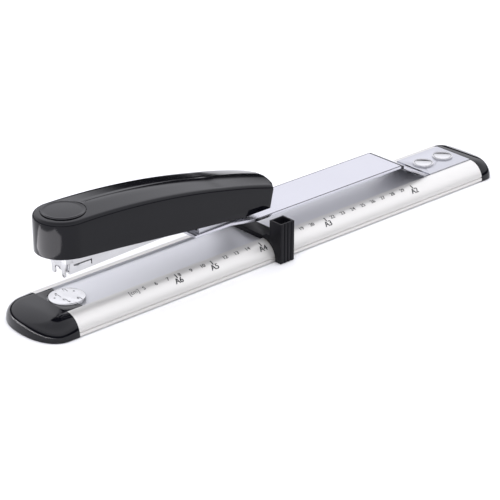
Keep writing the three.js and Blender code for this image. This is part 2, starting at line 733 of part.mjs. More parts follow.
for (const [side, sign] of [["near", -1], ["far", 1]]) {
  const [x, z] = magazineRivetPlace();
  const span = (inner, outer) => (sign > 0 ? [inner, outer] : [-outer, -inner]);
  const shank = rodY(x, z, 1.2, ...span(MAGAZINE_HALF - MAGAZINE_WALL + 0.05, BRACKET_OUT + 0.2), 12);
  const head = rodY(x, z, 2.2, ...span(BRACKET_OUT + 0.1, BRACKET_OUT + 0.3), 12);
  place(`magazine_rivet_${side}`, joined(shank, head), NICKEL);
}

// ---------------------------------------------------------------- magazine

// A point of the standing frame in the magazine's own tilted frame.
function inMagazine(x, z) {
  const dz = z - MAGAZINE_Z;
  return [
    x * Math.cos(MAGAZINE_TILT) + dz * Math.sin(MAGAZINE_TILT),
    dz * Math.cos(MAGAZINE_TILT) - x * Math.sin(MAGAZINE_TILT),
  ];
}

const [PIN_IN_X, PIN_IN_Z] = inMagazine(PIVOT_X, PIVOT_Z);

function magazineChannel() {
  const inside = MAGAZINE_HALF - MAGAZINE_WALL;
  let body = cut(
    block(MAGAZINE_FRONT, MAGAZINE_REAR, -MAGAZINE_HALF, MAGAZINE_HALF, 0, MAGAZINE_TALL),
    block(MAGAZINE_FRONT - 1, MAGAZINE_REAR + 1, -inside, inside, MAGAZINE_WALL, MAGAZINE_TALL + 1),
  );
  const wide = MAGAZINE_HALF + 1;
  const [rivetX, rivetZ] = inMagazine(...magazineRivetPlace());
  const bend = [[1.2, 6.2], [1.6, 4.9], [4.6, 4.1], [6.6, 4.8], [15.9, 4.5], [15.9, 5.4], [6, 5.7]];
  const hook = joined(
    acrossY(bend, -wide, wide),
    block(15.1, 15.9, -wide, wide, 1.8, 5.2),
  );
  body = cut(body, hook, rodY(PIN_IN_X, PIN_IN_Z, PIVOT_R + GAP, -wide, wide));
  body = cut(body, rodY(rivetX, rivetZ, 1.2 + GAP, -wide, wide, 14));
  const rearTop = [
    [PIN_IN_X - 12, MAGAZINE_TALL + 1],
    [PIN_IN_X - 4, PIN_IN_Z + 4.5],
    [MAGAZINE_REAR + 1, PIN_IN_Z + 4.5],
    [MAGAZINE_REAR + 1, MAGAZINE_TALL + 1],
  ];
  return cut(body, acrossY(rearTop, -wide, wide));
}

place("magazine_channel", magazineChannel(), NICKEL, magazine);

function nosePlate() {
  const half = MAGAZINE_HALF + GAP + 0.8;
  const legOut = NOSE_LEG_Y + NOSE_LEG_HALF;
  const legIn = NOSE_LEG_Y - NOSE_LEG_HALF;
  const arch = [];
  for (let i = 0; i <= 6; i++) {
    const angle = (Math.PI / 2) * (i / 6);
    arch.push([legIn * Math.cos(angle), 2.2 + 3.2 * Math.sin(angle)]);
  }
  const right = [
    [half, MAGAZINE_TALL],
    [half, 7],
    [legOut + 0.2, 4.5],
    [legOut, -NOSE_LEG_DROP + 0.7],
    [NOSE_LEG_Y + 0.9, -NOSE_LEG_DROP],
    [NOSE_LEG_Y - 0.9, -NOSE_LEG_DROP],
    [legIn, -NOSE_LEG_DROP + 0.7],
    ...arch.slice(0, -1),
  ];
  const outline = [...right, [0, 5.4], ...right.map(([y, z]) => [-y, z]).reverse()];
  let body = alongX(outline, NOSE_FRONT, NOSE_FRONT + NOSE_THICK);
  for (const side of [-1, 1]) {
    const [y0, y1] = side > 0 ? [MAGAZINE_HALF + GAP, half] : [-half, -MAGAZINE_HALF - GAP];
    body = joined(body, block(NOSE_FRONT + 0.5, 0.4, y0, y1, 8, MAGAZINE_TALL));
  }
  return body;
}

place("nose_plate", nosePlate(), NICKEL, magazine);

function invertedU(x0, x1, outerHalf, wall, bottom, top) {
  return cut(
    block(x0, x1, -outerHalf, outerHalf, bottom, top),
    block(x0 - 1, x1 + 1, -outerHalf + wall, outerHalf - wall, bottom - 1, top - wall),
  );
}

const railLow = MAGAZINE_WALL + GAP;
const rail = invertedU(MAGAZINE_FRONT - 0.2, RAIL_REAR, RAIL_HALF, 0.9, railLow, RAIL_TOP);
place("staple_rail", rail, BRUSHED_STEEL, magazine);

const stripHalf = RAIL_HALF + GAP + STAPLE_WIRE;
const stripTop = RAIL_TOP + GAP + STAPLE_WIRE;
const stripFront = MAGAZINE_FRONT + 0.2;
const stripRear = stripFront + STRIP_LONG;
const strip = invertedU(stripFront, stripRear, stripHalf, STAPLE_WIRE, stripTop - 7, stripTop);
place("staple_strip", strip, STAPLE_WIRE_FINISH, magazine);

const pusherFront = stripRear + GAP;
const pusherRear = pusherFront + PUSHER_LONG;
function pusher() {
  const body = cut(
    block(pusherFront, pusherRear, -stripHalf, stripHalf, stripTop - 6.8, PUSHER_TOP),
    block(pusherFront - 1, pusherRear + 1, -RAIL_HALF - GAP, RAIL_HALF + GAP, 0, RAIL_TOP + GAP),
  );
  return cut(body, rodX(0, ROD_Z, ROD_R + GAP, pusherFront - 1, pusherRear + 1));
}
place("pusher", pusher(), SATIN_BLACK, magazine);

const seatFront = RAIL_REAR - SEAT_LONG - 0.5;
const seat = cut(
  block(seatFront, seatFront + SEAT_LONG, -stripHalf, stripHalf, RAIL_TOP + GAP, PUSHER_TOP),
  rodX(0, ROD_Z, ROD_R + 0.1, seatFront - 1, seatFront + SEAT_LONG + 1),
);
place("spring_seat", seat, BRUSHED_STEEL, magazine);
const guideRod = rodX(0, ROD_Z, ROD_R, pusherFront - 1, seatFront + SEAT_LONG + 1.5);
place("pusher_guide_rod", guideRod, SPRING_STEEL, magazine);

// A coil of wire about an axis: place3 turns (along, across, up) into x, y, z.
function coil(start, end, radius, wireRadius, turns, place3, stepsPerTurn = 7) {
  const points = [];
  for (let i = 0; i <= turns * stepsPerTurn; i++) {
    const angle = (2 * Math.PI * i) / stepsPerTurn;
    const along = start + ((end - start) * i) / (turns * stepsPerTurn);
    points.push(place3(along, radius * Math.cos(angle), radius * Math.sin(angle)));
  }
  return wire(points, wireRadius, turns * stepsPerTurn, 5);
}

const pusherCoil = coil(
  pusherRear + GAP + PUSHER_WIRE_R,
  seatFront - GAP - PUSHER_WIRE_R,
  PUSHER_COIL_R,
  PUSHER_WIRE_R,
  12,
  (x, y, z) => [x, y, ROD_Z + z],
);
place("pusher_spring", pusherCoil, SPRING_STEEL, magazine);

const bridgeHalfLong = 6;
const bridgeLow = MAGAZINE_TALL + GAP;
const bridgeTop = MAGAZINE_Z + RETURN_SPRING_X * Math.sin(MAGAZINE_TILT) + bridgeLow + 1;
const [bridgeX] = inMagazine(RETURN_SPRING_X, bridgeTop);
function magazineBridge() {
  const front = bridgeX - bridgeHalfLong;
  const rear = bridgeX + bridgeHalfLong;
  const inner = MAGAZINE_HALF + GAP;
  const outer = inner + 0.8;
  const spigot = rodZ(bridgeX, 0, RETURN_COIL_R - RETURN_WIRE_R - 0.5, bridgeLow + 0.5, bridgeLow + 2.6);
  let body = joined(block(front, rear, -outer, outer, bridgeLow, bridgeLow + 1), spigot);
  for (const [y0, y1] of [[-outer, -inner], [inner, outer]]) {
    body = joined(body, block(front, rear - 3, y0, y1, MAGAZINE_TALL - 4, bridgeLow + 0.5));
  }
  return body;
}
place("magazine_bridge", magazineBridge(), BRUSHED_STEEL, magazine);

// ---------------------------------------------------------------- handle

function flankTop(x) {
  const along = Math.max(x, 0) / HANDLE_REAR;
  return HANDLE_EDGE_Z - HANDLE_EDGE_DROP * along ** 2;
}

// The handle's plan made solid: a round nose and a rear that bulges and leans.
function planBody(inset) {
  const radius = HANDLE_HALF - inset;
  const points = [];
  const noseSteps = 20;
  const rearSteps = 6;
  for (let i = 0; i <= noseSteps; i++) {
    const angle = Math.PI / 2 + (Math.PI * i) / noseSteps;
    points.push([HANDLE_NOSE_X + radius * Math.cos(angle), radius * Math.sin(angle)]);
  }
  for (let i = 0; i <= rearSteps; i++) {
    const across = (2 * i) / rearSteps - 1;
    points.push([HANDLE_REAR - inset + HANDLE_REAR_BULGE * (1 - across ** 2), across * radius]);
  }
  const geometry = new THREE.ExtrudeGeometry(shapeOf(points), { depth: 100, bevelEnabled: false });
  const position = geometry.getAttribute("position");
  for (let i = 0; i < position.count; i++) {
    if (position.getX(i) > HANDLE_REAR / 2) {
      position.setX(i, position.getX(i) + HANDLE_REAR_LEAN * (position.getZ(i) - HANDLE_REAR_Z));
    }
  }
  return solid(geometry);
}

// Rear limit at a height: the handle, opened by its full travel, then still clears the arm.
function rearLimit(z, inset) {
  const reach = PIVOT_Z - ARM_TOP - GAP - inset;
  return PIVOT_X + (reach + (z - PIVOT_Z) * Math.cos(OPEN_TRAVEL)) / Math.sin(OPEN_TRAVEL);
}

// Everything above the handle's bottom edge and before its rear limit, moved by a wall for the hollow.
function aboveBottom(lowered, inset) {
  const bottom = [
    [-30, HANDLE_NOSE_LOW_Z],
    [HANDLE_NOSE_X - 6, HANDLE_NOSE_LOW_Z],
    [29.2, HANDLE_NOSE_LOW_Z - 3],
    [PIVOT_X - 14.4, HANDLE_LOW_Z],
  ].map(([x, z]) => [x, z - lowered]);
  const low = HANDLE_LOW_Z - lowered;
  const outline = [...bottom, [rearLimit(low, inset), low], [rearLimit(90, inset), 90], [-30, 90]];
  return acrossY(outline, -HANDLE_HALF - 1, HANDLE_HALF + 1);
}

// Right half of the crowned top, from its edge to the middle.
function crownLine(edge, half) {
  const across = [1, 0.93, 0.84, 0.7, 0.45, 0.15];
  return across.map((u) => [u * half, edge + HANDLE_CROWN * (1 - u ** CROWN_POWER)]);
}

// The body under the crowned top, dropped and narrowed by a wall. Round the nose the crown's curve is
// turned about the nose's centre, so the rim stays level there.
function crownBody(drop, inset) {
  const half = HANDLE_HALF - inset;
  const stations = [-24, 0, 25, 50, 75, 100, 120, 140, 160, 175];
  const body = loft(
    stations.map((x) => {
      const edge = flankTop(x) - drop;
      const ring = [[half + 0.5, 0], [half + 0.5, edge], ...crownLine(edge, half)];
      return [...ring.map(([y, z]) => [x, -y, z]), ...ring.reverse().map(([y, z]) => [x, y, z])];
    }),
  );
  const edge = HANDLE_EDGE_Z - drop;
  const rim = [[0, 0], [half + 0.5, 0], [half + 0.5, edge]];
  const line = [...rim, ...crownLine(edge, half), [0, edge + HANDLE_CROWN]];
  const nose = turnedZ(line, HANDLE_NOSE_X, 0);
  return body.intersect(joined(nose, block(HANDLE_NOSE_X, 200, -half - 1, half + 1, 0, 100)));
}

function leverTop(x) {
  return flankTop(x) - LEVER_UNDER_EDGE;
}

function handleShell() {
  const outer = aboveBottom(0, 0).intersect(planBody(0)).intersect(crownBody(0, 0));
  const room = aboveBottom(2, SHELL_WALL).intersect(planBody(SHELL_WALL));
  const hollow = room.intersect(crownBody(SHELL_ROOF, SHELL_WALL));
  let shell = cut(outer, hollow);
  for (const x of SHELL_SCREW_X) {
    const seatZ = leverTop(x - 3.5) + GAP;
    const boss = rodZ(x, 0, 3.5, seatZ, seatZ + 4, 20).intersect(crownBody(1, 0));
    shell = cut(joined(shell, boss), rodZ(x, 0, SHELL_SCREW_R + 0.1, seatZ - 1, seatZ + 3, 16));
  }
  return cut(shell, rodZ(0, 0, PAD_R + GAP, PAD_FLOOR, 90, 48));
}

place("handle_shell", handleShell(), GLOSS_BLACK);

const pad = rodZ(0, 0, PAD_R, PAD_FLOOR, 90, 48).intersect(crownBody(0.15, 0));
place("thumb_pad", pad, GLOSS_BLACK);

function handleLever() {
  const rearX = PIVOT_X + 6;
  const topLine = [150, 125, 100, 75, 50, 25].map((x) => [x, leverTop(x)]);
  const side = [
    [LEVER_FRONT, leverTop(0) - 9],
    [60, leverTop(60) - 11],
    [120, leverTop(120) - 11.5],
    [PIVOT_X - 8, PIVOT_Z - 4],
    [PIVOT_X + 3, PIVOT_Z - 4],
    [rearX, PIVOT_Z],
    [rearX, leverTop(rearX)],
    ...topLine,
    [LEVER_FRONT, leverTop(0)],
  ];
  const webStations = [LEVER_FRONT - 1, 0, 25, 50, 75, 100, 125, 150, rearX + 1];
  const webLine = webStations.map((x) => [x, leverTop(x) - LEVER_WALL]);
  const hollow = [...webLine, [rearX + 1, 0], [LEVER_FRONT - 1, 0]];
  const inner = LEVER_OUT - LEVER_WALL;
  let body = cut(acrossY(side, -LEVER_OUT, LEVER_OUT), acrossY(hollow, -inner, inner));
  body = cut(body, rodY(PIVOT_X, PIVOT_Z, PIVOT_R + GAP, -LEVER_OUT - 1, LEVER_OUT + 1));
  for (const x of SHELL_SCREW_X) {
    body = cut(body, rodZ(x, 0, SHELL_SCREW_R + GAP, 40, 80, 16));
  }
  return cut(body, rodZ(5, 0, 1.5 + GAP, 60, 80, 16));
}

place("handle_lever", handleLever(), BRUSHED_STEEL);

SHELL_SCREW_X.forEach((x, i) => {
  const webLow = leverTop(x + 3.5) - LEVER_WALL - GAP;
  const screw = joined(
    rodZ(x, 0, 2.6, webLow - 1.2, webLow, 16),
    rodZ(x, 0, SHELL_SCREW_R, webLow - 0.5, leverTop(x - 3.5) + 2.8, 14),
  );
  place(i === 0 ? "shell_screw_front" : "shell_screw_rear", screw, SPRING_STEEL);
});

// The driver blade hangs from the lever's web: drawn driven home, then swung up by the travel.
function driverBlade() {
  const pivotBack = new THREE.Matrix4().makeTranslation(-PIVOT_X, 0, -PIVOT_Z);
  const swing = new THREE.Matrix4().makeRotationY(PRESS_TRAVEL);
  const pivotForth = new THREE.Matrix4().makeTranslation(PIVOT_X, 0, PIVOT_Z);
  const plate = new THREE.BoxGeometry(BLADE_THICK, 2 * BLADE_HALF, BLADE_LONG - 14)
    .translate(BLADE_X + BLADE_THICK / 2, 0, BLADE_LOW + (BLADE_LONG - 14) / 2)
    .applyMatrix4(pivotForth.multiply(swing).multiply(pivotBack));
  const webLow = leverTop(0) - LEVER_WALL;
  const flange = block(BLADE_X + 1.3, 9, -BLADE_HALF, BLADE_HALF, webLow - GAP - 0.8, webLow - GAP);
  return cut(joined(solid(plate), flange), rodZ(5, 0, 1.5 + GAP, 60, 80, 16));
}

place("driver_blade", driverBlade(), SPRING_STEEL);

const bladeRivetLow = leverTop(0) - LEVER_WALL - GAP - 0.8;
const bladeRivet = joined(
  rodZ(5, 0, 1.5, bladeRivetLow - 0.5, leverTop(0) + 0.5, 14),
  rodZ(5, 0, 2.6, bladeRivetLow - 0.9, bladeRivetLow, 14),
  rodZ(5, 0, 2.6, leverTop(0), leverTop(0) + 0.9, 14),
);
place("blade_rivet", bladeRivet, NICKEL);

const pinEnd = LEVER_OUT + 1.6;
const handlePin = joined(
  rodY(PIVOT_X, PIVOT_Z, PIVOT_R, -pinEnd, pinEnd),
  rodY(PIVOT_X, PIVOT_Z, PIVOT_R + 1.2, -pinEnd, -LEVER_OUT - GAP),
);
place("handle_pin", handlePin, SPRING_STEEL);

const pinClip = cut(
  rodY(PIVOT_X, PIVOT_Z, PIVOT_R + 1.4, LEVER_OUT + GAP, LEVER_OUT + 1.1),
  rodY(PIVOT_X, PIVOT_Z, PIVOT_R + 0.15, LEVER_OUT, LEVER_OUT + 2),
);
place("handle_pin_clip", pinClip, SPRING_STEEL);

const returnCoil = coil(
  bridgeTop + GAP + RETURN_WIRE_R + 0.2,
  leverTop(RETURN_SPRING_X + 4) - LEVER_WALL - GAP - RETURN_WIRE_R,
  RETURN_COIL_R,
  RETURN_WIRE_R,
  4,
  (z, x, y) => [RETURN_SPRING_X + x, y, z],
);
place("handle_spring", returnCoil, SPRING_STEEL);

export default stapler;
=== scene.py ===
import bpy
import bmesh
import math
from mathutils import Matrix, Vector


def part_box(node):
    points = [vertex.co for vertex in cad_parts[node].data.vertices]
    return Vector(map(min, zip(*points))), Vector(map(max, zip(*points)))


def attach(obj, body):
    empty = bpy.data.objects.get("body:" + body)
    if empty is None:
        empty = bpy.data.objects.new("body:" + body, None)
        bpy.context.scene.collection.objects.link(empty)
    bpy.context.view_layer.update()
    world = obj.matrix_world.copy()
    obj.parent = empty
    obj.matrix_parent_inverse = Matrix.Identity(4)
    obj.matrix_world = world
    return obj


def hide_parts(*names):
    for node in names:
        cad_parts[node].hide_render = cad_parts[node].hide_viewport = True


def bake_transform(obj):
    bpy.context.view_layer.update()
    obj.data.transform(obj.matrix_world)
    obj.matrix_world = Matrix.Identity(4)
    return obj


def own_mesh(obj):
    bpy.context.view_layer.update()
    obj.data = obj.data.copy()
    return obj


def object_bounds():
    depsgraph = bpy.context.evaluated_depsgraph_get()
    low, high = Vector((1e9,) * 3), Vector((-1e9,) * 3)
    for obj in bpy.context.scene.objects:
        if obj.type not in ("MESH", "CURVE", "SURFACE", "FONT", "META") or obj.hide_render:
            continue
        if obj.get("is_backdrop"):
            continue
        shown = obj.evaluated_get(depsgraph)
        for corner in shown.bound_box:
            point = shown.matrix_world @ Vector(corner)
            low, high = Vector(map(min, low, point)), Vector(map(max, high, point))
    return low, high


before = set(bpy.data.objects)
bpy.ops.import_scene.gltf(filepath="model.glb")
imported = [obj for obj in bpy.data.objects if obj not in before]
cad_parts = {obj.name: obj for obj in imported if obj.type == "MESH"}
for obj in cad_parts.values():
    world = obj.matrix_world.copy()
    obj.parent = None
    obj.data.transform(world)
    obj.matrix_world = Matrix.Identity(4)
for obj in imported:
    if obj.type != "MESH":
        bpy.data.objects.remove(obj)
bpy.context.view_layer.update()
MM = 0.001


# The studio: a wide pale table, a white sky that is dark just above the horizon, one big soft lamp
# over the front, and a low glowing panel in front of the nose, which gives it its bright band. The
# camera looks down the length of the stapler from its front left.
class Number:
    """A socket that arithmetic signs work on: each sign adds one Math node to the paint."""

    def __init__(self, paint, socket):
        self.paint = paint
        self.socket = socket

    def _with(self, operation, first, second=0.0):
        return self.paint.node("ShaderNodeMath", {"operation": operation}, [first, second])

    def __add__(self, other):
        return self._with("ADD", self, other)

    def __radd__(self, other):
        return self._with("ADD", other, self)

    def __mul__(self, other):
        return self._with("MULTIPLY", self, other)

    def __rmul__(self, other):
        return self._with("MULTIPLY", other, self)


class Paint:
    """One finish: a Principled surface, with the constants it is given and nodes added to it."""

    def __init__(self, name, **constants):
        self.material = bpy.data.materials.new(name)
        self.material.use_nodes = True
        self.tree = self.material.node_tree
        self.surface = self.tree.nodes["Principled BSDF"]
        for key, value in constants.items():
            self.surface.inputs[key.replace("_", " ")].default_value = value

    def node(self, kind, settings=None, inputs=None, output=0):
        made = self.tree.nodes.new(kind)
        for key, value in (settings or {}).items():
            if key == "stops":
                ramp = made.color_ramp
                while len(ramp.elements) < len(value):
                    ramp.elements.new(1.0)
                for element, (place, shade) in zip(ramp.elements, value):
                    element.position = place
                    element.color = (*shade, 1.0) if len(shade) == 3 else shade
            else:
                setattr(made, key, value)
        pairs = inputs.items() if isinstance(inputs, dict) else enumerate(inputs or [])
        for key, value in pairs:
            if isinstance(value, Number):
                self.tree.links.new(value.socket, made.inputs[key])
            else:
                made.inputs[key].default_value = value
        return Number(self, made.outputs[output])

    def feed(self, **sockets):
        for key, value in sockets.items():
            self.tree.links.new(value.socket, self.surface.inputs[key.replace("_", " ")])
        return self.material

    def place(self, stretch=(1, 1, 1)):
        """Object coordinates in millimetres, stretched for grain that runs one way."""
        where = self.node("ShaderNodeTexCoord", output="Object")
        inputs = {"Vector": where, "Scale": tuple(s / MM for s in stretch)}
        return self.node("ShaderNodeMapping", {"vector_type": "POINT"}, inputs)

    def noise(self, scale, detail=2.0, stretch=(1, 1, 1), roughness=0.5):
        inputs = {"Vector": self.place(stretch), "Scale": scale, "Detail": detail, "Roughness": roughness}
        return self.node("ShaderNodeTexNoise", None, inputs)

    def mix(self, factor, first, second):
        settings = {"data_type": "RGBA"}
        inputs = {0: factor, 6: (*first, 1.0), 7: (*second, 1.0)}
        return self.node("ShaderNodeMix", settings, inputs, output=2)

    def bump(self, height, distance, strength=1.0):
        inputs = {"Height": height, "Distance": distance, "Strength": strength}
        return self.node("ShaderNodeBump", None, inputs)


VIEW_AZIMUTH = math.radians(-41.81)
VIEW_ELEVATION = math.radians(25.11)
VIEW_DISTANCE = 1.3105
VIEW_AIM = Vector((-0.03085, -0.01939, 0.010))
VIEW_LENS = 138.7

back = Vector(
    (
        math.sin(VIEW_AZIMUTH) * math.cos(VIEW_ELEVATION),
        -math.cos(VIEW_AZIMUTH) * math.cos(VIEW_ELEVATION),
        math.sin(VIEW_ELEVATION),
    )
)
bpy.ops.object.select_all(action="DESELECT")
bpy.ops.object.camera_add(location=VIEW_AIM + VIEW_DISTANCE * back)
camera = bpy.context.object
camera.rotation_euler = (-back).to_track_quat("-Z", "Y").to_euler()
camera.data.lens = VIEW_LENS
camera.data.sensor_width = 36
camera.data.clip_start = 0.01
camera.data.clip_end = 60
bpy.context.scene.camera = camera
bpy.context.scene.view_settings.view_transform = "Standard"

bpy.ops.mesh.primitive_plane_add(size=30, location=(0, 0, 0))
table = bpy.context.object
table.name = "table_top"
table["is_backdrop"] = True
table_white = Paint("table_white", Roughness=0.85)
table_white.surface.inputs["Specular IOR Level"].default_value = 0.1
shade = table_white.noise(0.004, 1.0)
white = table_white.mix(shade, (0.92, 0.92, 0.925), (0.95, 0.95, 0.95))
table.data.materials.append(table_white.feed(Base_Color=white))

bpy.ops.object.select_all(action="DESELECT")
bpy.ops.mesh.primitive_plane_add(size=1, location=(-0.303, 0.008, 0.002))
panel = bpy.context.object
panel.name = "light_panel"
panel.scale = (0.1, 0.23, 1)
panel.rotation_euler = (0, 0, math.radians(-12))
panel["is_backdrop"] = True
glow = Paint("panel_glow", Emission_Strength=4.8)
soft = glow.mix(glow.noise(0.01), (0.95, 0.92, 0.98), (1.0, 0.98, 1.0))
panel.data.materials.append(glow.feed(Emission_Color=soft))

bpy.ops.object.light_add(type="AREA", location=(-0.5, -0.35, 1.3))
lamp = bpy.context.object
lamp.data.shape = "RECTANGLE"
lamp.data.size = 0.9
lamp.data.size_y = 0.7
lamp.data.energy = 2
lamp.visible_glossy = False
lamp.rotation_euler = (Vector((0, 0, 0.03)) - lamp.location).to_track_quat("-Z", "Y").to_euler()

sky = bpy.data.worlds.new("studio")
bpy.context.scene.world = sky
sky.use_nodes = True
sky_nodes = sky.node_tree.nodes
direction = sky_nodes.new("ShaderNodeTexCoord")
split = sky_nodes.new("ShaderNodeSeparateXYZ")
bands = sky_nodes.new("ShaderNodeValToRGB")
sky.node_tree.links.new(direction.outputs["Generated"], split.inputs[0])
sky.node_tree.links.new(split.outputs["Z"], bands.inputs[0])
sky.node_tree.links.new(bands.outputs[0], sky_nodes["Background"].inputs["Color"])
SKY_TINT = Vector((0.985, 0.985, 1.04))
SKY_LEVELS = {0.0: 0.9, 0.005: 0.01, 0.17: 0.015, 0.25: 1.25, 0.45: 1.45, 0.55: 1.7, 1.0: 1.25}
while len(bands.color_ramp.elements) < len(SKY_LEVELS):
    bands.color_ramp.elements.new(1.0)
for element, (height, level) in zip(bands.color_ramp.elements, SKY_LEVELS.items()):
    element.position = height
    element.color = (*(level * SKY_TINT), 1.0)


# The base is one length of extruded aluminium, satin anodised, with a shallow channel along its
# middle and two curved flanks. The saw cuts and the punched holes are lightly broken at their edges.
def select_none():
    if bpy.context.object and bpy.context.object.mode != "OBJECT":
        bpy.ops.object.mode_set(mode="OBJECT")
    bpy.ops.object.select_all(action="DESELECT")


def work_on(piece):
    select_none()
    piece.select_set(True)
    bpy.context.view_layer.objects.active = piece


def apply_modifiers(piece):
    work_on(piece)
    for modifier in list(piece.modifiers):
        bpy.ops.object.modifier_apply(modifier=modifier.name)


def blank_of(node):
    """A merged copy of a CAD node's mesh, with its flat faces whole, to be worked further."""
    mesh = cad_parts[node].data.copy()
    mesh.materials.clear()
    piece = bpy.data.objects.new(node + "_finished", mesh)
    bpy.context.scene.collection.objects.link(piece)
    work_on(piece)
    bpy.ops.object.mode_set(mode="EDIT")
    bpy.ops.mesh.select_all(action="SELECT")
    bpy.ops.mesh.remove_doubles(threshold=2e-6)
    bpy.ops.mesh.dissolve_limited(angle_limit=math.radians(0.4))
    bpy.ops.object.mode_set(mode="OBJECT")
    return piece


def break_edges(piece, width, angle=30, segments=2):
    bevel = piece.modifiers.new("broken edges", "BEVEL")
    bevel.width = width * MM
    bevel.segments = segments
    bevel.limit_method = "ANGLE"
    bevel.angle_limit = math.radians(angle)
    apply_modifiers(piece)


def smooth(piece, angle=30):
    work_on(piece)
    bpy.ops.object.shade_smooth_by_angle(angle=math.radians(angle))


def settle(piece, name, body, slot, material, *nodes):
    """Gives a finished piece its place in its mesh, its name, its finish and its body."""
    work_on(piece)
    bpy.ops.object.transform_apply(location=True, rotation=True, scale=True)
    piece.name = name
    piece.data.name = name
    piece.data.materials.clear()
    piece.data.materials.append(material)
    if body:
        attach(piece, body)
    if nodes:
        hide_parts(*nodes)
    return piece


CHANNEL_HALF = 17.1  # the channel between the flanks is painted a cooler tone, a painted reflection


def anodised():
    paint = Paint("anodised_aluminium", Metallic=0.55)
    lines = paint.noise(1.0, 3.0, (0.012, 4.0, 4.0))
    clouds = paint.noise(0.03, 2.0)
    tone = paint.mix(lines * 0.6 + clouds * 0.4, (0.67, 0.662, 0.64), (0.71, 0.7, 0.675))
    side = paint.node("ShaderNodeSeparateXYZ", None, [paint.place()], 1)
    away = paint.node("ShaderNodeMath", {"operation": "ABSOLUTE"}, [side])
    # Painted reflection: inside the channel the base colour is a cooler tone that stands for what the
    # channel reflects.
    inside = paint.node("ShaderNodeMath", {"operation": "LESS_THAN"}, [away, CHANNEL_HALF])
    tones = {0: inside, 6: tone, 7: (0.655, 0.66, 0.685, 1)}
    tone = paint.node("ShaderNodeMix", {"data_type": "RGBA"}, tones, 2)
    height = paint.bump(lines, 0.004 * MM, 0.3)
    return paint.feed(Base_Color=tone, Roughness=0.4 + lines * 0.08, Normal=height)


base = blank_of("base_profile")
break_edges(base, 0.25, 32)
smooth(base, 20)
settle(base, "base_extrusion", "base", "anodised_aluminium", anodised(), "base_profile")


# The rule is printed on the near flank in dark ink: centimetres counted from the staple line, and
# arrows for the standard paper sizes, so that the stop can be set by eye.
STAPLE_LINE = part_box("anvil")[0].x / 2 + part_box("anvil")[1].x / 2
FLANK_CENTRE_Y = -17.5 * MM
FLANK_FOOT_Z = 1.2 * MM
FLANK_WIDE = 12.3 * MM
FLANK_TALL = 12.8 * MM
INK_LIFT = 0.05 * MM


def on_flank(x, along):
    """A point on the near flank, from its X and the arc length below the crest."""
    angle = math.pi / 2 - along / ((FLANK_WIDE + FLANK_TALL) / 2)
    y = FLANK_CENTRE_Y - (FLANK_WIDE + INK_LIFT) * math.cos(angle)
    z = FLANK_FOOT_Z + (FLANK_TALL + INK_LIFT) * math.sin(angle)
    return Vector((x, y, z))


def printed(text, size, x, along):
    bpy.ops.object.select_all(action="DESELECT")
    bpy.ops.object.text_add(location=(0, 0, 0))
    words = bpy.context.object
    words.data.body = text
    words.data.size = size * MM
    words.data.align_x = "CENTER"
    words.data.align_y = "CENTER"
    bpy.ops.object.convert(target="MESH")
    work_on(words)
    bpy.ops.object.mode_set(mode="EDIT")
    bpy.ops.mesh.select_all(action="SELECT")
    bpy.ops.mesh.subdivide(number_cuts=3)
    bpy.ops.object.mode_set(mode="OBJECT")
    for vertex in words.data.vertices:
        vertex.co = on_flank(x + vertex.co.x, along - vertex.co.y)
    return words


def printed_bar(x, wide, start, end):
    bpy.ops.object.select_all(action="DESELECT")
    bpy.ops.mesh.primitive_grid_add(x_subdivisions=1, y_subdivisions=4, size=1, location=(0, 0, 0))
    bar = bpy.context.object
    for vertex in bar.data.vertices:
        along = start + (0.5 - vertex.co.y) * (end - start)
        vertex.co = on_flank(x + vertex.co.x * wide, along)
    return bar


RULE_ZERO = STAPLE_LINE - 4.2 * MM
UNIT_DOWN, NUMBERS_DOWN, PAPERS_DOWN = 5.0 * MM, 4.7 * MM, 8.7 * MM
prints = [printed("[cm]", 4.6, RULE_ZERO + 41.4 * MM, UNIT_DOWN)]
for number in range(5, 30):
    if number not in (11, 15, 21):  # a paper arrow stands there instead
        for shift in (-0.1, 0.1):  # each numeral is printed twice, side by side, for a bolder stroke
            x = RULE_ZERO + (number * 10 + shift) * MM
            prints.append(printed(str(number), 4.2, x, NUMBERS_DOWN))
HALF_PAPERS = {"A6": 74.0, "A5": 105.0, "A4": 148.5, "A3": 210.0, "A2": 297.0}
ARROW_BACK = 1.3
for paper, half in HALF_PAPERS.items():
    x = STAPLE_LINE + (half - ARROW_BACK) * MM
    for shift in (-0.16, 0.0, 0.16):
        prints.append(printed(paper, 5.8, x + shift * MM, PAPERS_DOWN))
    prints.append(printed_bar(x, 0.9 * MM, 2.9 * MM, 6.7 * MM))
work_on(prints[0])
for piece in prints:
    piece.select_set(True)
bpy.ops.object.join()
ink = Paint("rule_ink", Roughness=0.6)
ink.surface.inputs["Specular IOR Level"].default_value = 0.15
ink_wear = ink.noise(2.0, 3.0)
ink_tone = ink.mix(ink_wear, (0.012, 0.012, 0.014), (0.03, 0.03, 0.034))
settle(prints[0], "printed_rule", "base", "anodised_aluminium", ink.feed(Base_Color=ink_tone))


# The end caps are moulded in glossy black plastic. They plug into the ends of the extrusion and
# round it off; the front one also carries a flat tongue round the anvil.
def gloss_black(name="gloss_black_plastic", gloss=0.3, rough=0.06):
    paint = Paint(name)
    paint.surface.inputs["Specular IOR Level"].default_value = gloss
    fine = paint.noise(0.35, 4.0, roughness=0.6)
    haze = paint.noise(0.03, 2.0)
    tone = paint.mix(haze, (0.002, 0.0021, 0.0034), (0.004, 0.0041, 0.006))
    height = paint.bump(fine, 0.004 * MM, 0.12)
    return paint.feed(Base_Color=tone, Roughness=rough + haze * 0.04, Normal=height)


cap_finish = gloss_black()
for end in ("front", "rear"):
    cap = blank_of(f"{end}_cap")
    break_edges(cap, 0.3, 40)
    smooth(cap, 32)
    settle(cap, f"{end}_end_cap", "base", "gloss_black", cap_finish, f"{end}_cap")


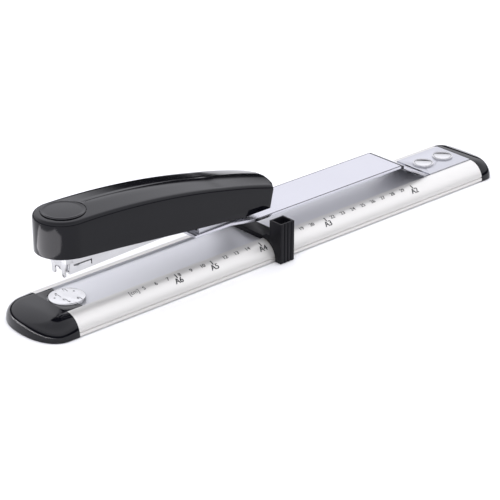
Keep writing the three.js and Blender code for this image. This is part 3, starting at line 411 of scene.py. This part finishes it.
# Four soft rubber feet are pressed into pockets in the caps. Each has a dished middle and a rim
# that grips the table.
def rubber():
    paint = Paint("black_rubber", Roughness=0.85)
    grit = paint.noise(3.0, 4.0)
    tone = paint.mix(grit, (0.012, 0.012, 0.013), (0.035, 0.035, 0.036))
    height = paint.bump(grit, 0.03 * MM, 0.6)
    return paint.feed(Base_Color=tone, Roughness=0.75 + grit * 0.2, Normal=height)


def face_pick(piece, test):
    """Selects the faces of a piece that pass a test on their centre and normal, in edit mode."""
    work_on(piece)
    bpy.ops.object.mode_set(mode="EDIT")
    bpy.ops.mesh.select_mode(type="FACE")
    bpy.ops.mesh.select_all(action="DESELECT")
    body = bmesh.from_edit_mesh(piece.data)
    for face in body.faces:
        face.select = test(face.calc_center_median(), face.normal)
    bmesh.update_edit_mesh(piece.data)


def round_bar(centre, radius, low, high, vertices=48):
    """An upright round bar, as a new piece with its place in its mesh."""
    bpy.ops.object.select_all(action="DESELECT")
    place = (centre[0], centre[1], (low + high) / 2)
    sizes = {"vertices": vertices, "radius": radius, "depth": high - low}
    bpy.ops.mesh.primitive_cylinder_add(location=place, **sizes)
    bpy.ops.object.transform_apply(location=True, rotation=True, scale=True)
    return bpy.context.object


rubber_finish = rubber()
for end in ("front", "rear"):
    for side in ("near", "far"):
        low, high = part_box(f"foot_{end}_{side}")
        centre = (low + high) / 2
        foot = round_bar(centre, (high.x - low.x) / 2, low.z, high.z)
        face_pick(foot, lambda c, n: n.z < -0.9)
        bpy.ops.mesh.inset(thickness=1.1 * MM)
        bpy.ops.transform.translate(value=(0, 0, 0.35 * MM))
        bpy.ops.mesh.inset(thickness=0.6 * MM)
        bpy.ops.object.mode_set(mode="OBJECT")
        break_edges(foot, 0.25, 30)
        smooth(foot)
        settle(foot, f"rubber_foot_{end}_{side}", "base", "rubber", rubber_finish, f"foot_{end}_{side}")


# Cross-head screws go up through the lips of the extrusion into the caps.
def spring_steel():
    paint = Paint("spring_steel", Metallic=1.0)
    grain = paint.noise(1.2, 4.0)
    tone = paint.mix(grain, (0.42, 0.425, 0.44), (0.58, 0.585, 0.6))
    height = paint.bump(grain, 0.01 * MM, 0.3)
    return paint.feed(Base_Color=tone, Roughness=0.25 + grain * 0.15, Normal=height)


def cut_away(piece, *cutters):
    """Cuts other pieces out of a piece and throws the cutters away."""
    for cutter in cutters:
        boolean = piece.modifiers.new("cut", "BOOLEAN")
        boolean.operation = "DIFFERENCE"
        boolean.solver = "EXACT"
        boolean.object = cutter
        apply_modifiers(piece)
        bpy.data.objects.remove(cutter)


def slab(low, high):
    """A rectangular block between two corners, in metres."""
    low, high = Vector(low), Vector(high)
    bpy.ops.object.select_all(action="DESELECT")
    bpy.ops.mesh.primitive_cube_add(size=1, location=(low + high) / 2, scale=high - low)
    bpy.ops.object.transform_apply(location=True, rotation=True, scale=True)
    return bpy.context.object


steel_finish = spring_steel()
HEAD_TALL = 0.7 * MM
CROSS_DEEP = 0.45 * MM
for end in ("front", "rear"):
    for side in ("near", "far"):
        low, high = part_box(f"cap_screw_{end}_{side}")
        centre = (low + high) / 2
        screw = round_bar(centre, (high.x - low.x) / 2, low.z, low.z + HEAD_TALL, 32)
        face_pick(screw, lambda c, n: n.z > 0.9)
        bpy.ops.mesh.inset(thickness=1.2 * MM)
        shank = Vector((0, 0, high.z - low.z - HEAD_TALL))
        bpy.ops.mesh.extrude_region_move(TRANSFORM_OT_translate={"value": shank})
        bpy.ops.object.mode_set(mode="OBJECT")
        for x, y in ((1.5, 0.28), (0.28, 1.5)):
            cut_low = Vector((centre.x - x * MM, centre.y - y * MM, low.z - 0.2 * MM))
            cut_high = Vector((centre.x + x * MM, centre.y + y * MM, low.z + CROSS_DEEP))
            cut_away(screw, slab(cut_low, cut_high))
        break_edges(screw, 0.12, 35)
        smooth(screw)
        name = f"cross_head_screw_{end}_{side}"
        settle(screw, name, "base", "spring_steel", steel_finish, f"cap_screw_{end}_{side}")


# The anvil is a bright turned disc that can be swivelled half a turn. One pair of clinch pockets
# folds the staple's legs inwards and the other outwards. A washer and a clip hold it from below.
def nickel():
    paint = Paint("bright_nickel", Metallic=1.0)
    swirl = paint.noise(0.15, 3.0)
    tone = paint.mix(swirl, (0.52, 0.52, 0.53), (0.6, 0.6, 0.605))
    height = paint.bump(swirl, 0.02 * MM, 0.15)
    return paint.feed(Base_Color=tone, Roughness=0.1 + swirl * 0.1, Normal=height)


low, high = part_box("anvil")
middle = (low + high) / 2
ANVIL_UNDER = high.z - 1.8 * MM
anvil = round_bar(middle, (high.x - low.x) / 2, ANVIL_UNDER, high.z, 96)
face_pick(anvil, lambda c, n: n.z < -0.9)
bpy.ops.mesh.inset(thickness=(high.x - low.x) / 2 - 3 * MM)
bpy.ops.mesh.extrude_region_move(TRANSFORM_OT_translate={"value": (0, 0, low.z - ANVIL_UNDER)})
bpy.ops.object.mode_set(mode="OBJECT")
break_edges(anvil, 0.45, 60, 3)
POCKETS = [(-4.2, 1.2, 7.0), (4.2, 5.0, 10.8)]  # place along the arm, then inner and outer end
for x, inner, outer in POCKETS:
    for side in (-1, 1):
        bpy.ops.object.select_all(action="DESELECT")
        bpy.ops.mesh.primitive_uv_sphere_add(segments=32, ring_count=16, radius=1)
        pocket = bpy.context.object
        pocket.scale = Vector((1.0, (outer - inner) / 2, 0.9)) * MM
        pocket.location = middle.x + x * MM, middle.y + side * (inner + outer) / 2 * MM, high.z
        bpy.ops.object.transform_apply(location=True, rotation=True, scale=True)
        cut_away(anvil, pocket)
for angle in (20, 65, 115, 160, 245, 295):
    bpy.ops.object.select_all(action="DESELECT")
    turn = math.radians(angle)
    dot = middle + Vector((math.cos(turn), math.sin(turn), 0)) * 8.2 * MM
    cut_away(anvil, round_bar(dot, 0.75 * MM, high.z - 0.9 * MM, high.z + 1 * MM, 16))
smooth(anvil, 35)
nickel_finish = nickel()
settle(anvil, "anvil_disc", "anvil", "nickel", nickel_finish, "anvil")

for node in ("anvil_spring_washer", "anvil_retaining_clip"):
    ring = blank_of(node)
    break_edges(ring, 0.12, 50)
    smooth(ring)
    settle(ring, node + "_ring", "base", "spring_steel", steel_finish, node)


# The paper stop is a satin black moulding that straddles the base and slides along it. Its hollow
# posts are what the fingers push, and a rubber pad under the bar brakes it.
def satin_black():
    paint = Paint("satin_black_plastic")
    paint.surface.inputs["Specular IOR Level"].default_value = 0.12
    spark = paint.noise(4.0, 3.0)
    tone = paint.mix(spark, (0.004, 0.004, 0.006), (0.007, 0.007, 0.009))
    height = paint.bump(spark, 0.02 * MM, 0.35)
    return paint.feed(Base_Color=tone, Roughness=0.28 + spark * 0.12, Normal=height)


satin_finish = satin_black()
stop = blank_of("paper_stop")
break_edges(stop, 0.35, 40)
smooth(stop)
settle(stop, "sliding_paper_stop", "stop", "satin_black", satin_finish, "paper_stop")

pad = blank_of("stop_brake_pad")
break_edges(pad, 0.25, 40)
smooth(pad)
settle(pad, "brake_pad", "stop", "rubber", rubber_finish, "stop_brake_pad")


# The rear plate is zinc-plated sheet with its front edge rolled into two hinge knuckles. Two big
# dished rivets fix it through the floor of the channel.
def zinc_sheet():
    paint = Paint("zinc_plated_sheet", Metallic=1.0)
    grain = paint.noise(0.9, 3.0, (0.05, 2.0, 2.0))
    cloud = paint.noise(0.06, 2.0)
    tone = paint.mix(grain * 0.5 + cloud * 0.5, (0.46, 0.465, 0.5), (0.54, 0.545, 0.58))
    height = paint.bump(grain, 0.006 * MM, 0.35)
    return paint.feed(Base_Color=tone, Roughness=0.24 + grain * 0.12, Normal=height)


zinc_finish = zinc_sheet()
plate = blank_of("rear_plate")
break_edges(plate, 0.25, 40)
smooth(plate, 25)
settle(plate, "rear_hinge_plate", "base", "brushed_steel", zinc_finish, "rear_plate")

PLATE_TOP = 14.8 * MM
SPREAD_TALL = 1.0 * MM  # the end of the shank, spread under the channel's floor
for end in ("front", "rear"):
    low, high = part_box(f"plate_rivet_{end}")
    centre = (low + high) / 2
    radius = (high.x - low.x) / 2
    rivet = round_bar(centre, radius, PLATE_TOP, high.z, 72)
    face_pick(rivet, lambda c, n: n.z > 0.9)
    bpy.ops.mesh.inset(thickness=0.8 * MM)
    bpy.ops.mesh.inset(thickness=0.1 * MM)
    bpy.ops.transform.translate(value=(0, 0, -0.6 * MM))
    bpy.ops.mesh.inset(thickness=0.5 * MM)
    bpy.ops.mesh.inset(thickness=0.1 * MM)
    bpy.ops.transform.translate(value=(0, 0, 0.5 * MM))
    face_pick(rivet, lambda c, n: n.z < -0.9)
    bpy.ops.mesh.inset(thickness=radius - 3 * MM)
    shank = low.z - PLATE_TOP + SPREAD_TALL + 0.2 * MM
    bpy.ops.mesh.extrude_region_move(TRANSFORM_OT_translate={"value": (0, 0, shank)})
    bpy.ops.mesh.extrude_region_move(TRANSFORM_OT_translate={"value": (0, 0, -0.2 * MM)})
    bpy.ops.transform.resize(value=(1.5, 1.5, 1), center_override=centre)
    bpy.ops.mesh.extrude_region_move(TRANSFORM_OT_translate={"value": (0, 0, -SPREAD_TALL)})
    bpy.ops.object.mode_set(mode="OBJECT")
    break_edges(rivet, 0.05, 40)
    smooth(rivet, 25)
    settle(rivet, f"disc_rivet_{end}", "base", "nickel", nickel_finish, f"plate_rivet_{end}")


# The arm turns on a hardened pin. Two torsion springs beside its middle knuckle press one leg under
# the ramp and one under the channel's floor, and so lift the head off the paper.
hinge_low, hinge_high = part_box("arm_hinge_pin")
HINGE_LINE = (hinge_low + hinge_high) / 2
bpy.ops.object.select_all(action="DESELECT")
bpy.ops.mesh.primitive_cylinder_add(
    vertices=48,
    radius=(hinge_high.x - hinge_low.x) / 2,
    depth=hinge_high.y - hinge_low.y,
    location=HINGE_LINE,
    rotation=(math.pi / 2, 0, 0),
)
hinge_pin = bpy.context.object
bpy.ops.object.transform_apply(location=True, rotation=True, scale=True)
break_edges(hinge_pin, 0.3, 40, 3)
smooth(hinge_pin)
settle(hinge_pin, "hinge_pin", "base", "spring_steel", steel_finish, "arm_hinge_pin")
for side in ("near", "far"):
    spring = blank_of(f"arm_spring_{side}")
    smooth(spring, 80)
    settle(spring, f"lifting_spring_{side}", None, "spring_steel", steel_finish, f"arm_spring_{side}")
    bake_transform(spring)


# The arm is a long strip of satin nickel-plated sheet. It narrows to a neck under the head and is
# bent down to its hinge at the rear. Dark lines beside its edges and at the bend are painted shade
# and dark reflection in its colour.
def satin_nickel():
    paint = Paint("satin_nickel_sheet", Metallic=0.92)
    grain = paint.noise(1.0, 3.0, (0.03, 3.0, 3.0))
    cloud = paint.noise(0.02, 2.0)
    tone = paint.mix(cloud, (0.53, 0.53, 0.575), (0.57, 0.57, 0.615))
    where = paint.place()
    side = paint.node("ShaderNodeSeparateXYZ", None, [where], 1)
    away = paint.node("ShaderNodeMath", {"operation": "ABSOLUTE"}, [side])
    # Painted shade: a dark line painted beside each side edge of the top and one across the bend, standing
    # for shade and dark reflection there.
    rim = arm_high.y / MM - 0.45
    edge_shade_line = paint.node("ShaderNodeMath", {"operation": "COMPARE"}, [away, rim, 0.4])
    along = paint.node("ShaderNodeSeparateXYZ", None, [where], 0)
    bend = paint.node("ShaderNodeMath", {"operation": "COMPARE"}, [along, BEND_X / MM, 1.5])
    painted_shade_lines = paint.node("ShaderNodeMath", {"operation": "MAXIMUM"}, [edge_shade_line, bend])
    tones = {0: painted_shade_lines, 6: tone, 7: (0.03, 0.03, 0.035, 1)}
    tone = paint.node("ShaderNodeMix", {"data_type": "RGBA"}, tones, 2)
    height = paint.bump(grain, 0.003 * MM, 0.12)
    return paint.feed(Base_Color=tone, Roughness=0.2 + grain * 0.06, Normal=height)


arm_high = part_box("arm_plate")[1]
arm_corners = [vertex.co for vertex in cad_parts["arm_plate"].data.vertices]
BEND_X = max(corner.x for corner in arm_corners if corner.z > arm_high.z - 1 * MM)
arm = blank_of("arm_plate")
break_edges(arm, 0.45, 30)
smooth(arm, 25)
settle(arm, "arm_sheet", "arm", "arm_steel", satin_nickel(), "arm_plate")


# The head's bracket is a pressed channel riveted on the neck. Its ears carry the magazine's rivets
# and, at the rear, the pin that the handle swings on.
bracket = blank_of("head_bracket")
break_edges(bracket, 0.25, 35)
smooth(bracket, 30)
settle(bracket, "pressed_bracket", "arm", "brushed_steel", zinc_finish, "head_bracket")

RIVET_HEAD = 0.8 * MM
for end in ("front", "rear"):
    low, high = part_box(f"bracket_rivet_{end}")
    centre = (low + high) / 2
    rivet = round_bar(centre, 1.5 * MM, low.z + RIVET_HEAD, high.z - RIVET_HEAD, 32)
    for bottom in (low.z, high.z - RIVET_HEAD):
        head = round_bar(centre, 2.6 * MM, bottom, bottom + RIVET_HEAD, 32)
        break_edges(head, 0.55, 40, 4)
        work_on(rivet)
        head.select_set(True)
        bpy.ops.object.join()
    smooth(rivet, 40)
    settle(rivet, f"neck_rivet_{end}", "arm", "nickel", nickel_finish, f"bracket_rivet_{end}")

for side in ("near", "far"):
    rivet = blank_of(f"magazine_rivet_{side}")
    break_edges(rivet, 0.15, 50)
    smooth(rivet, 40)
    settle(rivet, f"side_rivet_{side}", "arm", "nickel", nickel_finish, f"magazine_rivet_{side}")


# The magazine is a bright folded channel with a hook-shaped slot in each wall. The forked nose
# plate in front of it guides the driver blade down to the anvil.
magazine = blank_of("magazine_channel")
break_edges(magazine, 0.18, 35)
smooth(magazine, 25)
settle(magazine, "magazine_body", "arm", "nickel", nickel_finish, "magazine_channel")

nose = blank_of("nose_plate")
break_edges(nose, 0.2, 35)
smooth(nose, 25)
settle(nose, "forked_nose", "arm", "nickel", nickel_finish, "nose_plate")

BUILT_AS_DRAWN = {
    "staple_rail": ("inner_rail", "brushed_steel", zinc_finish),
    "spring_seat": ("rear_spring_seat", "brushed_steel", zinc_finish),
    "magazine_bridge": ("spring_bridge", "brushed_steel", zinc_finish),
    "pusher_guide_rod": ("guide_rod", "spring_steel", steel_finish),
}
for node, (name, slot, finish) in BUILT_AS_DRAWN.items():
    piece = blank_of(node)
    break_edges(piece, 0.15, 40)
    smooth(piece, 30)
    settle(piece, name, "arm", slot, finish, node)


# The staples are bent from flat galvanised wire and glued side by side into a strip that rides on
# the rail.
TILT = math.radians(1.7)
MAGAZINE_ORIGIN = Vector((STAPLE_LINE, 0, 33 * MM))
STAPLE_PITCH = 0.62
STAPLE_HALF = 5.8 * MM
WIRE_WIDE = 0.6 * MM
LEG_LONG = 6.4 * MM


def in_magazine():
    """The magazine's own frame: X along it, Z up from its bottom edge."""
    return Matrix.Translation(MAGAZINE_ORIGIN) @ Matrix.Rotation(-TILT, 4, "Y")


def staple_wire():
    paint = Paint("galvanised_wire", Metallic=1.0)
    grain = paint.noise(1.5, 3.0)
    tone = paint.mix(grain, (0.6, 0.61, 0.62), (0.76, 0.77, 0.78))
    height = paint.bump(grain, 0.008 * MM, 0.4)
    return paint.feed(Base_Color=tone, Roughness=0.22 + grain * 0.15, Normal=height)


LEG_INSIDE = STAPLE_HALF - WIRE_WIDE
staple = slab((-1.8 * MM, -STAPLE_HALF, 9.1 * MM - WIRE_WIDE), (-1.23 * MM, STAPLE_HALF, 9.1 * MM))
for side in (-1, 1):
    face_pick(staple, lambda c, n: n.z < -0.9)
    bpy.ops.mesh.bisect(plane_co=(0, side * LEG_INSIDE, 0), plane_no=(0, 1, 0))
    bpy.ops.object.mode_set(mode="OBJECT")
face_pick(staple, lambda c, n: n.z < -0.9 and abs(c.y) > LEG_INSIDE)
bpy.ops.mesh.extrude_region_move(TRANSFORM_OT_translate={"value": (0, 0, -LEG_LONG)})
bpy.ops.object.mode_set(mode="OBJECT")
row = staple.modifiers.new("row", "ARRAY")
row.use_relative_offset = False
row.use_constant_offset = True
row.constant_offset_displace = (STAPLE_PITCH * MM, 0, 0)
row.count = 80
apply_modifiers(staple)
break_edges(staple, 0.08, 40, 1)
staple.data.transform(in_magazine())
smooth(staple, 40)
settle(staple, "staples", "arm", "staple_wire", staple_wire(), "staple_strip")


# A black plastic pusher slides on the guide rod behind the staples, driven by a long thin spring.
pusher = blank_of("pusher")
break_edges(pusher, 0.25, 40)
smooth(pusher)
settle(pusher, "staple_pusher", "pusher", "satin_black", satin_finish, "pusher")


def coil(radius, wire, length, turns, steps=20):
    """A coil spring that stands on the origin along Z."""
    bpy.ops.object.select_all(action="DESELECT")
    bpy.ops.mesh.primitive_circle_add(
        vertices=10, radius=wire, fill_type="NOTHING", location=(radius, 0, 0), rotation=(math.pi / 2, 0, 0)
    )
    piece = bpy.context.object
    bpy.ops.object.transform_apply(location=True, rotation=True, scale=True)
    screw = piece.modifiers.new("turns", "SCREW")
    screw.axis = "Z"
    screw.angle = 2 * math.pi
    screw.screw_offset = length / turns
    screw.iterations = turns
    screw.steps = steps
    screw.render_steps = steps
    apply_modifiers(piece)
    bpy.ops.object.mode_set(mode="EDIT")
    bpy.ops.mesh.select_all(action="SELECT")
    bpy.ops.mesh.remove_doubles(threshold=1e-6)
    bpy.ops.mesh.select_mode(type="EDGE")
    bpy.ops.mesh.select_all(action="DESELECT")
    bpy.ops.mesh.select_non_manifold()
    bpy.ops.mesh.edge_face_add()
    bpy.ops.mesh.select_all(action="SELECT")
    bpy.ops.mesh.normals_make_consistent(inside=False)
    bpy.ops.object.mode_set(mode="OBJECT")
    return piece


FEED_FRONT = Vector((62.9, 0, 10.5)) * MM
FEED_REAR = Vector((135.5, 0, 10.5)) * MM
feed = coil(1.75 * MM, 0.25 * MM, FEED_REAR.x - FEED_FRONT.x, 34, 14)
lying = Matrix.Rotation(math.pi / 2, 4, "Y")
feed.data.transform(in_magazine() @ Matrix.Translation(FEED_FRONT) @ lying)
smooth(feed, 60)
settle(feed, "feed_spring", "arm", "spring_steel", steel_finish, "pusher_spring")
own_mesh(feed)


# The handle's cover is one deep moulding in glossy black. Its top is a low ridge with a rounded
# rim, falls in a long curve to the rear, and has a fine parting groove that runs beside the ridge.
SHELL = "handle_shell"
shell_low, shell_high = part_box(SHELL)
HALF = shell_high.y
NOSE_X = shell_low.x + HALF
COVER_LONG = 161.7 * MM  # from the staple line to the foot of the rear
REAR_X = STAPLE_LINE + COVER_LONG
REAR_Z = 48.5 * MM
LEAN = 0.22
BULGE = 5.0 * MM
RIDGE = 1.55 * MM
ROUND = 2.4 * MM
EDGE_TOP = 71.5 * MM
EDGE_FALL = 22.9 * MM
LOWER_EDGE = [(-6.5, 49.2), (29.2, 46.2), (134.1, 35.8)]  # back from the staple line, and height
PIN_BACK, PIN_UP, OPENING = 148.5 * MM, 43 * MM, math.radians(55)
ARM_CLEAR = 13.1 * MM


def edge_height(x):
    """Height of the cover's upper edge at a place along it."""
    along = max(x - STAPLE_LINE, 0) / COVER_LONG
    return EDGE_TOP - EDGE_FALL * along**2


def top_height(x, y):
    """A low ridge, rounded off along the rim and round the nose."""
    reach = min(math.hypot(min(x - NOSE_X, 0.0), y), HALF)
    short = max(ROUND - (HALF - reach), 0.0)
    return edge_height(x) + RIDGE * (1 - reach / HALF) + math.sqrt(max(ROUND**2 - short**2, 0.0))


def bottom_height(x):
    """The cover's lower edge: level at the nose, then falling in two straight runs, then level."""
    along = (x - STAPLE_LINE) / MM
    if along < LOWER_EDGE[0][0]:
        return LOWER_EDGE[0][1] * MM
    for (start, start_z), (end, end_z) in zip(LOWER_EDGE, LOWER_EDGE[1:]):
        if along < end:
            return (start_z + (end_z - start_z) * (along - start) / (end - start)) * MM
    return LOWER_EDGE[-1][1] * MM


def rear_limit(y, z):
    """How far back the cover reaches: a bulged, leaning rear that clears the arm when opened."""
    bulged = REAR_X + BULGE * (1 - (y / HALF) ** 2) + LEAN * (z - REAR_Z)
    swung = (ARM_CLEAR + (z - PIN_UP) * math.cos(OPENING)) / math.sin(OPENING)
    return min(bulged, STAPLE_LINE + PIN_BACK + swung)


BLOCK_LOW, BLOCK_TALL = 40 * MM, 40 * MM  # the plain block that the two edges then shape
shell = round_bar((NOSE_X, 0), HALF, BLOCK_LOW, BLOCK_LOW + BLOCK_TALL, 128)
bpy.ops.object.mode_set(mode="EDIT")
bpy.ops.mesh.select_all(action="SELECT")
bpy.ops.mesh.bisect(plane_co=(NOSE_X, 0, 0), plane_no=(1, 0, 0), clear_outer=True, use_fill=True)
bpy.ops.object.mode_set(mode="OBJECT")
face_pick(shell, lambda c, n: n.x > 0.9)
bpy.ops.mesh.extrude_region_move(TRANSFORM_OT_translate={"value": (REAR_X - NOSE_X, 0, 0)})
bpy.ops.object.mode_set(mode="OBJECT")
face_pick(shell, lambda c, n: n.z > 0.9)
for turn in range(15, 91, 15):
    step = math.cos(math.radians(turn - 15)) - math.cos(math.radians(turn))
    bpy.ops.mesh.inset(thickness=ROUND * step)


def score(co, no):
    """Marks a line right round the piece."""
    bpy.ops.mesh.select_all(action="SELECT")
    bpy.ops.mesh.bisect(plane_co=co, plane_no=no)


STATIONS = 56
for i in range(1, STATIONS):
    x = NOSE_X - HALF + (REAR_X - NOSE_X + HALF) * i / STATIONS
    score((x, 0, 0), (1, 0, 0))
for y in (-15.5, -13.0, -10.0, -6.5, -3.0, 6.5, 9.5, 12.5, 15.0):
    score((0, y * MM, 0), (0, 1, 0))
GROOVE_START = Vector((STAPLE_LINE + 17 * MM, 1.6 * MM, 0))
GROOVE_END = Vector((STAPLE_LINE + 167 * MM, 4.6 * MM, 0))
GROOVE_DEEP = 0.7 * MM
groove_along = (GROOVE_END - GROOVE_START).normalized()
groove_across = Vector((-groove_along.y, groove_along.x, 0))
for offset in (-0.42, 0.0, 0.42):
    score(GROOVE_START + groove_across * offset * MM, groove_across)
for z in (50, 60, 70):
    score((0, 0, z * MM), (0, 0, 1))
bpy.ops.object.mode_set(mode="OBJECT")
HINGE_BACK = STAPLE_LINE + 120 * MM
for vertex in shell.data.vertices:
    x, y, z = vertex.co
    top, bottom = top_height(x, y), bottom_height(x)
    share = (z - BLOCK_LOW) / BLOCK_TALL
    z = bottom + share * (top - bottom)
    if x > HINGE_BACK:
        x = HINGE_BACK + (x - HINGE_BACK) * (rear_limit(y, z) - HINGE_BACK) / (REAR_X - HINGE_BACK)
    offset = (Vector((x, y, 0)) - GROOVE_START).dot(groove_across)
    if share > 0.999 and abs(offset) < 0.02 * MM and x > GROOVE_START.x:
        z -= GROOVE_DEEP
    vertex.co = (x, y, z)

face_pick(shell, lambda c, n: n.z < -0.8 and c.z < 52 * MM)
bpy.ops.mesh.delete(type="FACE")
bpy.ops.object.mode_set(mode="OBJECT")
wall = shell.modifiers.new("wall", "SOLIDIFY")
wall.thickness = 2.0 * MM
wall.offset = -1
apply_modifiers(shell)
PAD_CENTRE = Vector((STAPLE_LINE, 0, 0))
PAD_R = 14.5 * MM
PAD_GAP = 0.3 * MM
cut_away(shell, round_bar(PAD_CENTRE, PAD_R + PAD_GAP, 73.3 * MM, 80 * MM, 128))
break_edges(shell, 0.3, 38, 3)
smooth(shell, 26)
shell_finish = gloss_black("handle_gloss_black", 0.2, 0.07)
settle(shell, "handle_cover", "handle", "gloss_black", shell_finish, SHELL)


# The thumb pad is a separate disc snapped into the cover, set in a fine gap, with a low rim.
PAD_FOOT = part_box("thumb_pad")[0].z
PAD_DOME = 0.35 * MM
thumb = round_bar(PAD_CENTRE, PAD_R, PAD_FOOT, 74.9 * MM, 128)
face_pick(thumb, lambda c, n: n.z > 0.9)
bpy.ops.mesh.inset(thickness=0.9 * MM)
bpy.ops.mesh.inset(thickness=0.35 * MM)
bpy.ops.transform.translate(value=(0, 0, -0.18 * MM))
for _ in range(6):
    bpy.ops.mesh.inset(thickness=1.9 * MM)
bpy.ops.object.mode_set(mode="OBJECT")
for vertex in thumb.data.vertices:
    if vertex.co.z > 74 * MM:
        reach = math.hypot(vertex.co.x - PAD_CENTRE.x, vertex.co.y)
        vertex.co.z += PAD_DOME * (1 - (reach / PAD_R) ** 2)
break_edges(thumb, 0.2, 40, 3)
smooth(thumb, 30)
settle(thumb, "round_thumb_pad", "handle", "gloss_black", shell_finish, "thumb_pad")


# Under the cover a folded steel lever carries the load from the thumb to the driver blade. The
# cover is screwed to it from below, and the blade hangs on one rivet at its front.
lever = blank_of("handle_lever")
break_edges(lever, 0.2, 35)
smooth(lever, 20)
settle(lever, "folded_lever", "handle", "brushed_steel", zinc_finish, "handle_lever")

blade = blank_of("driver_blade")
break_edges(blade, 0.1, 40)
smooth(blade, 30)
settle(blade, "staple_driver", "handle", "spring_steel", steel_finish, "driver_blade")

for end in ("front", "rear"):
    low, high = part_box(f"shell_screw_{end}")
    screw = blank_of(f"shell_screw_{end}")
    centre = (low + high) / 2
    slot_low = Vector((centre.x - 2.2 * MM, centre.y - 0.3 * MM, low.z - 0.2 * MM))
    slot_high = Vector((centre.x + 2.2 * MM, centre.y + 0.3 * MM, low.z + 0.5 * MM))
    cut_away(screw, slab(slot_low, slot_high))
    break_edges(screw, 0.15, 40)
    smooth(screw, 30)
    name = f"cover_screw_{end}"
    settle(screw, name, "handle", "spring_steel", steel_finish, f"shell_screw_{end}")

rivet = blank_of("blade_rivet")
break_edges(rivet, 0.3, 50, 3)
smooth(rivet, 30)
settle(rivet, "driver_rivet", "handle", "nickel", nickel_finish, "blade_rivet")


# The handle swings on a headed pin with a push-on clip, and a short stiff coil lifts it again.
pin = blank_of("handle_pin")
break_edges(pin, 0.3, 50, 3)
smooth(pin, 30)
settle(pin, "pivot_pin", "arm", "spring_steel", steel_finish, "handle_pin")
clip = blank_of("handle_pin_clip")
break_edges(clip, 0.15, 50)
smooth(clip, 30)
settle(clip, "push_on_clip", "arm", "spring_steel", steel_finish, "handle_pin_clip")

low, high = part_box("handle_spring")
LIFT_WIRE = 0.5 * MM
LIFT_CLEAR = 5.2 * MM  # room above the coil, so that the pressed lever doesn't meet it
lift = coil(4 * MM, LIFT_WIRE, high.z - low.z - 2 * LIFT_WIRE - LIFT_CLEAR, 4, 40)
lift.data.transform(Matrix.Translation(((low.x + high.x) / 2, 0, low.z + LIFT_WIRE)))
smooth(lift, 60)
settle(lift, "return_spring", "arm", "spring_steel", steel_finish, "handle_spring")

low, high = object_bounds()
